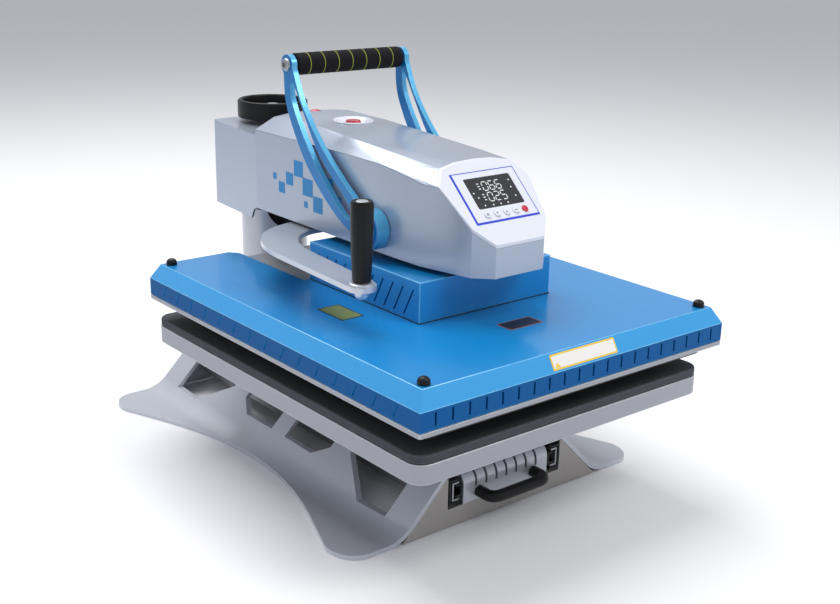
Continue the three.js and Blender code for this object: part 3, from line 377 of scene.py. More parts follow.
FINISHES: dict[str, Finish] = {
    finish.name: finish for finish in (
        Finish("silver_lacquer", srgb(198, 202, 210), 0.34, 0.4, 0.2, 0.05, scale=900, relief=0.05,
               wear_and_highlight_colour=srgb(225, 228, 232), wear_and_highlight=0.45, dust=0.06),
        Finish("front_panel_lacquer", srgb(168, 164, 160), 0.42, 0.35, 0.1, 0.06, scale=900, relief=0.06,
               wear_and_highlight_colour=srgb(215, 212, 208), wear_and_highlight=0.35),
        Finish("head_lacquer", srgb(172, 182, 198), 0.3, 0.5, 0.35, 0.04, scale=1000, relief=0.03,
               wear_and_highlight_colour=srgb(225, 232, 242), wear_and_highlight=0.4, dust=0.03),
        # The pale cyan edge colours of the blue enamels are painted highlight.
        Finish("blue_enamel", srgb(0, 136, 206), 0.28, 0.05, 0.6, 0.06, scale=700, relief=0.05,
               wear_and_highlight_colour=srgb(130, 212, 252), wear_and_highlight=0.55, dust=0.02),
        # Darker copy of the blue enamel for the cover's upright faces: painted shade.
        Finish("blue_enamel_painted_shade", srgb(0, 88, 152), 0.55, 0.0, 0.0, 0.07, scale=700, relief=0.05,
               wear_and_highlight_colour=srgb(90, 180, 240), wear_and_highlight=0.4, dust=0.0, specular=0.15),
        # Lighter copy of the blue enamel for the cover's sloping bevel: painted highlight.
        Finish("blue_enamel_painted_highlight", srgb(52, 164, 232), 0.26, 0.05, 0.6, 0.05, scale=700, relief=0.05,
               wear_and_highlight_colour=srgb(150, 222, 255), wear_and_highlight=0.6, dust=0.0),
        # The pale cyan edge colour of the anodised blue is painted highlight along the arms' edges.
        Finish("blue_anodised", srgb(0, 120, 190), 0.3, 0.25, 0.2, 0.06, scale=1100, relief=0.03,
               wear_and_highlight_colour=srgb(150, 222, 252), wear_and_highlight=0.95, dust=0.0),
        # Lighter copy of the anodised blue for the arms' rim faces: painted highlight.
        Finish("blue_anodised_painted_highlight", srgb(92, 186, 232), 0.24, 0.35, 0.4, 0.06, scale=1100, relief=0.03,
               wear_and_highlight_colour=srgb(190, 236, 255), wear_and_highlight=0.9, dust=0.0),
        Finish("machined_aluminium", srgb(158, 160, 168), 0.4, 0.6, 0.0, 0.07, Texture.BRUSHED, 500,
               0.08, (1.0, 1.0, 0.04), srgb(220, 222, 226), 0.5),
        Finish("heated_face_coat", srgb(44, 45, 49), 0.5, 0.1, 0.0, 0.15, scale=900, relief=0.08),
        Finish("polished_plate", srgb(206, 210, 217), 0.3, 0.7, 0.1, 0.03, Texture.BRUSHED, 420, 0.01,
               (1.0, 0.05, 1.0), srgb(240, 242, 245), 0.4),
        Finish("zinc_plate", srgb(168, 170, 174), 0.38, 0.85, 0.0, 0.12, Texture.BRUSHED, 380, 0.06,
               (1.0, 0.06, 1.0), srgb(220, 220, 222), 0.3),
        Finish("black_oxide", srgb(30, 31, 34), 0.42, 0.4, 0.0, 0.2, Texture.BRUSHED, 400, 0.08,
               (1.0, 1.0, 0.08), srgb(90, 92, 96), 0.3),
        Finish("silicone_sheet", srgb(58, 62, 69), 0.74, 0.0, 0.0, 0.12, Texture.CELLS, 420, 0.12,
               wear_and_highlight_colour=srgb(96, 100, 106), wear_and_highlight=0.25, dust=0.05),
        Finish("black_moulding", srgb(12, 12, 14), 0.36, 0.0, 0.0, 0.2, Texture.MOULDED, 1400, 0.12,
               wear_and_highlight_colour=srgb(48, 48, 52), wear_and_highlight=0.3, dust=0.01, specular=0.28),
        Finish("black_foam", srgb(24, 23, 26), 0.95, 0.0, 0.0, 0.3, Texture.CELLS, 900, 0.5, dust=0.0,
               specular=0.2),
        Finish("ring_print", srgb(138, 148, 48), 0.8, 0.0, 0.0, 0.2, Texture.CELLS, 900, 0.3, dust=0.0),
        Finish("white_moulding", srgb(222, 226, 236), 0.34, 0.0, 0.2, 0.03, Texture.MOULDED, 1200, 0.04,
               wear_and_highlight_colour=srgb(250, 250, 252), wear_and_highlight=0.3, dust=0.02),
        Finish("key_cap", srgb(222, 226, 234), 0.45, 0.0, 0.0, 0.04, Texture.MOULDED, 1200, 0.05, dust=0.0),
        Finish("royal_blue_print", srgb(28, 58, 200), 0.35, 0.0, 0.2, 0.05, scale=800, relief=0.02, dust=0.0),
        Finish("red_moulding", srgb(200, 38, 62), 0.25, 0.0, 0.4, 0.08, Texture.MOULDED, 1200, 0.03,
               wear_and_highlight_colour=srgb(240, 120, 130), wear_and_highlight=0.3, dust=0.0),
        Finish("display_screen", srgb(34, 36, 40), 0.2, 0.0, 0.6, 0.15, scale=1500, relief=0.01, dust=0.0),
        Finish("display_digit", srgb(226, 230, 228), 0.5, 0.0, 0.0, 0.02, relief=0.0, dust=0.0),
        Finish("glyph_print", srgb(150, 156, 170), 0.5, 0.0, 0.0, 0.04, relief=0.0, dust=0.0),
        Finish("decal_blue", srgb(0, 134, 198), 0.4, 0.0, 0.0, 0.05, scale=900, relief=0.02, dust=0.0),
        Finish("label_white", srgb(244, 242, 238), 0.42, 0.0, 0.1, 0.03, relief=0.02, dust=0.0),
        Finish("label_yellow", srgb(246, 206, 70), 0.42, 0.0, 0.1, 0.05, relief=0.02, dust=0.0),
        Finish("label_olive", srgb(124, 136, 66), 0.5, 0.0, 0.1, 0.15, scale=300, relief=0.02, dust=0.0),
        Finish("label_black", srgb(30, 32, 40), 0.4, 0.0, 0.1, 0.15, relief=0.02, dust=0.0),
        Finish("label_rust", srgb(150, 88, 78), 0.5, 0.0, 0.0, 0.1, relief=0.02, dust=0.0),
        Finish("fibre_board", srgb(214, 206, 184), 0.95, 0.0, 0.0, 0.12, Texture.CELLS, 500, 0.3),
        # Near-black for the sheets and strips that stand in slots and seams as painted shade.
        Finish("painted_shade_dark", srgb(8, 14, 32), 0.7, 0.0, 0.0, 0.1, relief=0.02, dust=0.0),
        Finish("pale_floor", srgb(244, 245, 247), 0.7, 0.0, 0.0, 0.015, scale=40, relief=0.01, dust=0.0),
    )
}


# ------------------------------------------------------------------ workshop
@dataclass
class Workshop:
    """Holds the materials and the frame's bodies, and turns meshes into pieces that ride on them."""

    groups: ShaderGroups = field(default_factory=ShaderGroups)
    materials: dict[str, bpy.types.Material] = field(default_factory=dict)
    body_of_node: dict[str, str] = field(default_factory=dict)

    def __post_init__(self) -> None:
        """Build every material and read which body each node belongs to."""
        for name, finish in FINISHES.items():
            self.materials[name] = finish.material(self.groups)
        for body, nodes in frame["record"]["behaviour"]["bodies"].items():
            for node in nodes:
                self.body_of_node[node] = body

    def piece(self, name: str, mesh: bmesh.types.BMesh, finish: str, body: str,
              smooth_below: float = 35.0) -> bpy.types.Object:
        """Make an object of a mesh in the press's frame.

        Args:
            name: the piece's name.
            mesh: its geometry, which is freed.
            finish: name of its finish.
            body: name of the body it rides on.
            smooth_below: angle in degrees under which neighbouring faces shade as one.

        Returns:
            The new object.
        """
        for edge in mesh.edges:
            flat = len(edge.link_faces) == 2 and edge.calc_face_angle(0.0) < math.radians(smooth_below)
            edge.smooth = flat
        for face in mesh.faces:
            face.smooth = True
        data = bpy.data.meshes.new(name)
        mesh.to_mesh(data)
        mesh.free()
        data.materials.append(self.materials[finish])
        made = bpy.data.objects.new(name, data)
        bpy.context.collection.objects.link(made)
        self._weigh_normals(made)
        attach(made, body)
        return made

    @staticmethod
    def _weigh_normals(made: bpy.types.Object) -> None:
        """Make wide faces shade flat up to their rounded edges, and keep the result in the mesh."""
        weigh = made.modifiers.new("weigh", "WEIGHTED_NORMAL")
        weigh.keep_sharp = True
        ready = bpy.data.meshes.new_from_object(made.evaluated_get(bpy.context.evaluated_depsgraph_get()))
        made.modifiers.clear()
        ready.name = made.name
        made.data = ready

    def refine(self, node: str, finish: str, width: float = 0.8, sharp_over: float = 26.0,
               shortest: float = 0.0, segments: int = 3, flat_below: float = 0.5) -> bpy.types.Object:
        """Stand for a CAD node with a copy whose sharp edges are rounded.

        Args:
            node: the CAD node.
            finish: name of the copy's finish.
            width: width of the rounding, millimetres; 0 leaves the edges sharp.
            sharp_over: angle in degrees above which an edge is rounded.
            shortest: edges shorter than this, in millimetres, stay sharp.
            segments: faces across the rounding.
            flat_below: neighbouring faces that meet at less than this angle, in degrees, become one.

        Returns:
            The copy.
        """
        mesh = bmesh.new()
        mesh.from_mesh(frame["nodes"][node].data)
        bmesh.ops.remove_doubles(mesh, verts=mesh.verts, dist=1e-6)
        bmesh.ops.dissolve_limit(mesh, angle_limit=math.radians(flat_below), verts=mesh.verts, edges=mesh.edges)
        mark = mesh.faces.layers.float.new("edge")
        if width > 0:
            rounded = [edge for edge in mesh.edges
                       if len(edge.link_faces) == 2 and edge.calc_length() >= shortest * MM
                       and edge.calc_face_angle(0.0) > math.radians(sharp_over)]
            made = bmesh.ops.bevel(mesh, geom=rounded, offset=width * MM, offset_type="OFFSET",
                                   segments=segments, profile=0.5, affect="EDGES", clamp_overlap=True)
            for face in made["faces"]:
                face[mark] = 1.0
        copy = self.piece(f"{node}_finished", mesh, finish, self.body_of_node[node], 46.0)
        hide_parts(node)
        return copy

    def tint(self, copy: bpy.types.Object, finish: str, axis: int, least: float, most: float) -> None:
        """Give the faces that point a certain way another finish, a lighter or darker copy that paints light and shade
        by facing.

        Args:
            copy: the piece.
            finish: name of the finish.
            axis: 0, 1 or 2 for the part of the face's normal that is compared.
            least: smallest size of that part.
            most: largest size of that part.
        """
        copy.data.materials.append(self.materials[finish])
        for face in copy.data.polygons:
            if least <= abs(face.normal[axis]) <= most:
                face.material_index = len(copy.data.materials) - 1

    @staticmethod
    def slot_of(node: str) -> str:
        """Give the record's material slot of a node."""
        for part in frame["record"]["subparts"]:
            if part["node"] == node:
                return part["material_slot"]
        raise KeyError(node)

    def dress(self, node: str, finish: str) -> None:
        """Give a CAD node that stays as it is its finish."""
        for slot in frame["nodes"][node].material_slots:
            slot.material = self.materials[finish]


# ------------------------------------------------------------------ mesh makers
def slab(outline: Iterable[Sequence[float]], thickness: float, place: Matrix, rounding: float = 0.0) -> bmesh.types.BMesh:
    """Push a flat outline out into a plate.

    Args:
        outline: corners in order, millimetres.
        thickness: millimetres, along the local z.
        place: where the plate goes, metres.
        rounding: width of its rounded rim, millimetres.

    Returns:
        The plate's mesh.
    """
    mesh = bmesh.new()
    corners = [mesh.verts.new((x * MM, y * MM, 0.0)) for x, y in outline]
    foot = mesh.faces.new(corners)
    grown = bmesh.ops.extrude_face_region(mesh, geom=[foot])
    raised = [item for item in grown["geom"] if isinstance(item, bmesh.types.BMVert)]
    bmesh.ops.translate(mesh, verts=raised, vec=(0, 0, thickness * MM))
    bmesh.ops.recalc_face_normals(mesh, faces=mesh.faces)
    if rounding > 0:
        rims = [edge for edge in mesh.edges if all(v.co.z > thickness * MM * 0.5 for v in edge.verts)]
        bmesh.ops.bevel(mesh, geom=rims, offset=rounding * MM, segments=2, profile=0.5, affect="EDGES")
    mesh.transform(place)
    return mesh


def rounded_rectangle(x0: float, x1: float, y0: float, y1: float, radius: float, steps: int = 4) -> list:
    """List the corners of a rectangle with round corners, millimetres."""
    points = []
    corners = ((x1 - radius, y1 - radius, 0), (x0 + radius, y1 - radius, 90),
               (x0 + radius, y0 + radius, 180), (x1 - radius, y0 + radius, 270))
    for cx, cy, start in corners:
        for i in range(steps + 1):
            angle = math.radians(start + 90 * i / steps)
            points.append((cx + radius * math.cos(angle), cy + radius * math.sin(angle)))
    return points


def lathe(profile: Sequence[tuple[float, float]], place: Matrix, segments: int = 40) -> bmesh.types.BMesh:
    """Turn a profile about the local z axis.

    Args:
        profile: (radius, height) pairs from the bottom to the top, millimetres.
        place: where the turned piece goes, metres.
        segments: sides round the axis.

    Returns:
        The turned mesh.
    """
    mesh = bmesh.new()
    points = [mesh.verts.new((radius * MM, 0.0, height * MM)) for radius, height in profile]
    edges = [mesh.edges.new(pair) for pair in zip(points, points[1:])]
    bmesh.ops.spin(mesh, geom=points + edges, axis=(0, 0, 1), cent=(0, 0, 0), steps=segments,
                   angle=math.tau, use_merge=True)
    bmesh.ops.remove_doubles(mesh, verts=mesh.verts, dist=1e-7)
    bmesh.ops.recalc_face_normals(mesh, faces=mesh.faces)
    mesh.transform(place)
    return mesh


def joined(meshes: Iterable[bmesh.types.BMesh]) -> bmesh.types.BMesh:
    """Gather several meshes into the first one."""
    whole = bmesh.new()
    for mesh in meshes:
        scratch = bpy.data.meshes.new("scratch")
        mesh.to_mesh(scratch)
        mesh.free()
        whole.from_mesh(scratch)
        bpy.data.meshes.remove(scratch)
    return whole


def facing(origin: Vector, across: Vector, up: Vector) -> Matrix:
    """Make the matrix of a flat place whose local x, y and z are across, up and outward."""
    out = across.cross(up).normalized()
    return Matrix.Translation(origin) @ Matrix((across, up, out)).transposed().to_4x4()


def socket_screw(place: Matrix, radius: float, height: float) -> bmesh.types.BMesh:
    """Make a button head with a round socket recess, standing on a face."""
    dish = radius * 0.45
    mesh = lathe([(radius, 0.0), (radius, height * 0.45), (radius * 0.86, height * 0.85), (radius * 0.62, height),
                  (dish, height), (dish, height * 0.4), (0.0, height * 0.4)], place, 30)
    return mesh


def hex_bolt(place: Matrix, across_flats: float, height: float) -> bmesh.types.BMesh:
    """Make a bolt head on a washer, standing on a face."""
    corner = across_flats / math.sqrt(3)
    outline = [(corner * math.cos(math.radians(60 * i)), corner * math.sin(math.radians(60 * i))) for i in range(6)]
    head = slab(outline, height, place @ Matrix.Translation((0, 0, 1.4 * MM)), height * 0.12)
    washer = lathe([(0.0, 0.0), (across_flats * 0.72, 0.0), (across_flats * 0.72, 1.2), (0.0, 1.4)], place, 28)
    return joined((washer, head))


# ------------------------------------------------------------------ sub-assemblies
@dataclass
class Base:
    """Wings, panels and deck, with the drawer slides and their fixings."""

    shop: Workshop
    edge: float = 0.9
    bolt_inset: float = 13.0

    def build(self) -> None:
        """Dress the base."""
        for side in ("left", "right"):
            self.shop.refine(f"base_{side}_wing", "silver_lacquer", self.edge)
            self.shop.dress(f"slide_bracket_{side}", "zinc_plate")
            for part, finish in (("outer", "black_oxide"), ("middle", "zinc_plate"), ("inner", "black_oxide")):
                self.shop.refine(f"slide_{part}_{side}", finish, 0.3)
        self.shop.refine("base_front_panel", "front_panel_lacquer", 0.6)
        self.shop.refine("base_rear_panel", "silver_lacquer", 0.6)
        self.shop.refine("base_rear_deck", "silver_lacquer", 0.8)
        self.shop.refine("column", "silver_lacquer", 0.9, sharp_over=40)
        self.flange_bolts()

    def flange_bolts(self) -> None:
        """Put four bolts through the column's flange."""
        low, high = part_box("column")
        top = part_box("base_rear_deck")[1][2] + 10.3 * MM
        inset = self.bolt_inset * MM
        heads = []
        for x in (low[0] + inset, high[0] - inset):
            for y in (low[1] + inset, high[1] - inset):
                heads.append(hex_bolt(Matrix.Translation((x, y, top)), 13.0, 5.5))
        self.shop.piece("column_flange_bolts", joined(heads), "zinc_plate", "base")


@dataclass
class Drawer:
    """Drawer front, handle and the lower platen with its pad."""

    shop: Workshop
    pad_edge: float = 2.0
    bend: float = 14.0
    plate: float = 2.5

    def build(self) -> None:
        """Dress the drawer."""
        self.shop.dress("drawer_tray", "zinc_plate")
        self.shop.dress("platen_pedestal", "zinc_plate")
        self.shop.refine("drawer_front", "silver_lacquer", 0.35)
        self.shop.refine("drawer_handle", "black_moulding", 0.0)
        self.shop.refine("lower_platen", "machined_aluminium", 1.1)
        pad = self.shop.refine("silicone_pad", "silicone_sheet", self.pad_edge, segments=4)
        self.slot_shade_strip()

    def slot_shade_strip(self) -> None:
        """Put a dark strip behind the slots, following the bend of the drawer front, as painted shade inside the slots.
        """
        low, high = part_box("drawer_front")
        radius = self.bend - self.plate - 0.2
        centre = (low[1] / MM + self.bend, high[2] / MM - self.bend)
        outline = []
        for reach in (radius, radius - 0.5):
            arc = [(centre[0] + reach * math.cos(math.radians(90 + 9 * i)),
                    centre[1] + reach * math.sin(math.radians(90 + 9 * i))) for i in range(11)]
            foot = (centre[0] - reach, centre[1] - 14)
            points = arc + [foot]
            outline += points if reach == radius else points[::-1]
        width = (high[0] - low[0]) / MM - 6
        place = facing(Vector((low[0] + 3 * MM, 0, 0)), Vector((0, 1, 0)), Vector((0, 0, 1)))
        self.shop.piece("drawer_slot_shade", slab(outline, width, place), "painted_shade_dark", "drawer")


@dataclass
class UpperPlaten:
    """Heated plate, its slotted cover, the raised box and the labels."""

    shop: Workshop
    bevel_run: float = 9.8
    bevel_rise: float = 17.4
    label_width: float = 90.0
    label_height: float = 16.0

    def build(self) -> None:
        """Dress the upper platen."""
        cover = self.shop.refine("upper_platen_cover", "blue_enamel", 0.9, shortest=25)
        # Upright faces of the cover get the darker enamel copy as painted shade.
        self.shop.tint(cover, "blue_enamel_painted_shade", 2, 0.0, 0.2)
        # Sloping bevel faces of the cover get the lighter enamel copy as painted highlight.
        self.shop.tint(cover, "blue_enamel_painted_highlight", 2, 0.21, 0.75)
        self.shop.refine("platen_riser_box", "blue_enamel", 1.4, shortest=40)
        self.shop.refine("platen_trim_frame", "machined_aluminium", 0.6)
        self.shop.refine("heater_plate", "heated_face_coat", 0.8)
        self.shop.refine("heater_back_plate", "polished_plate", 0.5)
        self.shop.dress("insulation_board", "fibre_board")
        self.shop.refine("ram", "zinc_plate", 0.4, sharp_over=60)
        for name in ("front_left", "front_right", "rear_left", "rear_right"):
            self.shop.refine(f"corner_cap_{name}", "black_moulding", 0.0)
        self.slot_shade_sheets()
        self.riser_seam()
        self.top_labels()
        self.front_label()

    def slot_shade_sheets(self) -> None:
        """Stand dark sheets behind the slots of the cover and of the raised box, as painted shade inside the slots."""
        low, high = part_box("upper_platen_cover")
        foot = low[2] / MM + 2.5
        head = foot + 16
        self.shade_sheets("cover_slot_shade", low, high, 2.8, foot, head, ("left", "right", "front"))
        low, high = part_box("platen_riser_box")
        self.shade_sheets("riser_slot_shade", low, high, 2.4, low[2] / MM + 2, high[2] / MM - 4, ("left", "right"))

    def shade_sheets(self, name: str, low: Sequence[float], high: Sequence[float], inset: float, foot: float,
              head: float, sides: Sequence[str]) -> None:
        """Stand thin dark sheets inside a box's upright walls, as painted shade behind its slots.

        Args:
            name: name of the piece.
            low: lower corner of the box, metres.
            high: upper corner of the box, metres.
            inset: from the box's outer faces to the sheets, millimetres.
            foot: lower edge of the sheets, millimetres.
            head: upper edge of the sheets, millimetres.
            sides: the walls that get one.
        """
        x0, x1 = low[0] / MM + inset, high[0] / MM - inset
        y0, y1 = low[1] / MM + inset, high[1] / MM - inset - 20
        sheet = 0.4
        strips = {"left": (x0, x0 + sheet, y0, y1), "right": (x1 - sheet, x1, y0, y1), "front": (x0, x1, y0, y0 + sheet)}
        sheets = [slab([(a, c), (b, c), (b, d), (a, d)], head - foot, Matrix.Translation((0, 0, foot * MM)))
                  for a, b, c, d in (strips[side] for side in sides)]
        self.shop.piece(name, joined(sheets), "painted_shade_dark", "upper_platen")

    def riser_seam(self) -> None:
        """Run a thin dark strip round the foot of the raised box, as painted shade in the seam."""
        low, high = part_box("platen_riser_box")
        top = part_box("upper_platen_cover")[1][2] / MM
        x0, x1, y0, y1 = low[0] / MM, high[0] / MM, low[1] / MM, high[1] / MM
        sides = ((x0 - 0.4, x1 + 0.4, y0 - 0.4, y0), (x0 - 0.4, x1 + 0.4, y1, y1 + 0.4),
                 (x0 - 0.4, x0, y0, y1), (x1, x1 + 0.4, y0, y1))
        strips = [slab([(a, c), (b, c), (b, d), (a, d)], 0.9, Matrix.Translation((0, 0, (top + 0.05) * MM)))
                  for a, b, c, d in sides]
        self.shop.piece("riser_seam_shade", joined(strips), "painted_shade_dark", "upper_platen")

    def top_labels(self) -> None:
        """Lay two small blank plates on the cover, left of and in front of the raised box."""
        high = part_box("upper_platen_cover")[1]
        riser_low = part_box("platen_riser_box")[0]
        top = high[2] + 0.02 * MM
        left = facing(Vector((riser_low[0] - 42 * MM, riser_low[1] + 78 * MM, top)), Vector((0, 1, 0)), Vector((-1, 0, 0)))
        front = facing(Vector((-5.5 * MM, riser_low[1] - 57 * MM, top)), Vector((1, 0, 0)), Vector((0, 1, 0)))
        self.framed("side_label", left, 46, 28, "label_black", "label_olive", 1.6)
        self.framed("front_plate", front, 45, 22, "label_rust", "label_black", 1.4)

    def framed(self, name: str, place: Matrix, width: float, height: float, rim: str, face: str, border: float) -> None:
        """Lay a label with a coloured rim on a flat place.

        Args:
            name: name of the label.
            place: its middle, with local z outward.
            width: millimetres along local x.
            height: millimetres along local y.
            rim: finish of the rim.
            face: finish of the middle.
            border: width of the rim.
        """
        outer = rounded_rectangle(-width / 2, width / 2, -height / 2, height / 2, 1.5)
        inner = rounded_rectangle(-width / 2 + border, width / 2 - border, -height / 2 + border, height / 2 - border, 1.0)
        self.shop.piece(f"{name}_rim", slab(outer, 0.2, place), rim, "upper_platen")
        self.shop.piece(f"{name}_face", slab(inner, 0.1, place @ Matrix.Translation((0, 0, 0.2 * MM))), face,
                        "upper_platen")

    def front_label(self) -> None:
        """Stick a white label with a yellow rim on the front bevel."""
        low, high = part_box("upper_platen_cover")
        slope = Vector((0, self.bevel_run, self.bevel_rise)).normalized()
        foot = Vector((0, low[1], high[2] - self.bevel_rise * MM))
        middle = foot + slope * (math.hypot(self.bevel_run, self.bevel_rise) / 2 * MM)
        place = facing(middle, Vector((1, 0, 0)), slope)
        place = place @ Matrix.Translation((0, 0, 0.03 * MM))
        self.framed("bevel_label", place, self.label_width, self.label_height, "label_yellow", "label_white", 1.8)
        flash = [(-self.label_width / 2 + 3, -5.6), (-self.label_width / 2 + 11, -5.6), (-self.label_width / 2 + 7, -1.0)]
        patch = slab(flash, 0.12, place @ Matrix.Translation((0, 0, 0.3 * MM)))
        self.shop.piece("bevel_label_corner", patch, "label_yellow", "upper_platen")


@dataclass
class ControlPanel:
    """The sloping panel with its printed frame, display, digits and key signs."""

    shop: Workshop
    digit_height: float = 10.6
    digit_width: float = 6.4
    stroke: float = 1.15
    readings: tuple[str, str] = ("066", "025")

    SEGMENTS = {"0": "abcdef", "1": "bc", "2": "abged", "3": "abgcd", "4": "fgbc", "5": "afgcd",
                "6": "afgedc", "7": "abc", "8": "abcdefg", "9": "abcdfg"}

    def __post_init__(self) -> None:
        """Find the panel's plane from the keys' travel and the panel's own corners."""
        joint = next(j for j in frame["joints"] if j["name"] == "key_set_press")
        self.out = -Vector(joint["axis"]).normalized()
        self.across = Vector((1, 0, 0))
        self.up = self.out.cross(self.across).normalized()
        corners = [v.co for v in frame["nodes"]["control_bezel"].data.vertices]
        self.level = max(self.out.dot(c) for c in corners)
        screen_low, screen_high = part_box("display_window")
        middle = (Vector(screen_low) + Vector(screen_high)) / 2
        self.middle = middle + self.out * (self.level - self.out.dot(middle))
        self.screen_face = max(self.out.dot(v.co) for v in frame["nodes"]["display_window"].data.vertices)

    def place(self, x: float = 0.0, y: float = 0.0, lift: float = 0.0) -> Matrix:
        """Give the matrix of a spot on the panel, counted in millimetres from the display's middle."""
        origin = self.middle + self.across * (x * MM) + self.up * (y * MM) + self.out * (lift * MM)
        return facing(origin, self.across, self.up)

    def build(self) -> None:
        """Dress the panel."""
        self.shop.refine("control_bezel", "white_moulding", 1.0, sharp_over=32)
        self.shop.refine("display_window", "display_screen", 0.2)
        for name in ("set", "down", "up", "mode"):
            self.shop.refine(f"key_{name}", "key_cap", 0.25)
        self.shop.refine("key_start", "red_moulding", 0.25)
        self.print_frame()
        self.print_screen()
        self.print_keys()

    def print_frame(self) -> None:
        """Print the blue line round the display and the keys, thicker at the left and below."""
        x0, x1, y0, y1 = -45.5, 41.7, -36.5, 26.6
        bars = ((x0, x0 + 2.8, y0, y1), (x0, x1, y0, y0 + 2.6), (x1 - 0.8, x1, y0, y1), (x0, x1, y1 - 0.8, y1))
        strips = [slab([(a, c), (b, c), (b, d), (a, d)], 0.12, self.place(lift=0.02 + 0.01 * i))
                  for i, (a, b, c, d) in enumerate(bars)]
        self.shop.piece("panel_frame_line", joined(strips), "royal_blue_print", "head")

    def segment(self, name: str, x: float, y: float) -> list[tuple[float, float]]:
        """Outline one bar of a seven-bar digit.

        Args:
            name: letter of the bar, a to g.
            x: left edge of the digit.
            y: lower edge of the digit.

        Returns:
            The bar's corners.
        """
        w, h, t = self.digit_width, self.digit_height, self.stroke
        half = t / 2
        lean = 0.09
        level = {"a": h, "g": h / 2, "d": 0.0}
        if name in level:
            v = level[name]
            bar = [(half, v), (t, v + half), (w - t, v + half), (w - half, v), (w - t, v - half), (t, v - half)]
        else:
            u = w if name in "bc" else 0.0
            low, high = (0.0, h / 2) if name in "ce" else (h / 2, h)
            bar = [(u, low + half), (u + half, low + t), (u + half, high - t), (u, high - half),
                   (u - half, high - t), (u - half, low + t)]
        return [(x + px + lean * py, y + py) for px, py in bar]

    def print_screen(self) -> None:
        """Show two rows of digits, a unit mark beside each, and a rim of plain indicator dots."""
        depth = (self.screen_face - self.level) / MM
        marks = []
        pitch = self.digit_width + 2.6
        for row, reading in enumerate(self.readings):
            y = 2.4 - row * (self.digit_height + 2.8)
            for column, digit in enumerate(reading):
                for name in self.SEGMENTS[digit]:
                    outline = self.segment(name, -11.5 + column * pitch, y)
                    marks.append(slab(outline, 0.08, self.place(lift=depth + 0.03)))
            for bar in range(3):
                outline = rounded_rectangle(-17.5, -14.6, y + 2 + bar * 3.2, y + 3.2 + bar * 3.2, 0.5, 2)
                marks.append(slab(outline, 0.08, self.place(lift=depth + 0.03)))
        dots = [(-27, 1), (-24, -5), (-21, -15), (-10, -15.6), (0, -15.6), (10, -15.6), (25, 2), (27, 11), (25, -9)]
        for x, y in dots:
            outline = rounded_rectangle(x - 0.9, x + 0.9, y - 0.9, y + 0.9, 0.8, 3)
            marks.append(slab(outline, 0.08, self.place(lift=depth + 0.03)))
        self.shop.piece("display_digits", joined(marks), "display_digit", "head")

    def print_keys(self) -> None:
        """Draw a sign on each key's cap."""
        for name in ("set", "down", "up", "mode"):
            low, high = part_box(f"key_{name}")
            middle = (Vector(low) + Vector(high)) / 2
            face = max(self.out.dot(v.co) for v in frame["nodes"][f"key_{name}"].data.vertices)
            origin = middle + self.out * (face + 0.03 * MM - self.out.dot(middle))
            place = facing(origin, self.across, self.up)
            self.shop.piece(f"key_{name}_sign", slab(self.sign(name), 0.06, place), "glyph_print", f"key_{name}")

    @staticmethod
    def sign(name: str) -> list[tuple[float, float]]:
        """Outline the plain sign of a key, millimetres."""
        if name == "up":
            return [(-1.8, -1.1), (1.8, -1.1), (0.0, 1.5)]
        if name == "down":
            return [(0.0, -1.5), (1.8, 1.1), (-1.8, 1.1)]
        if name == "set":
            return rounded_rectangle(-1.6, 1.6, -1.6, 1.6, 0.4, 2)
        return rounded_rectangle(-2.0, 2.0, -0.7, 0.7, 0.3, 2)


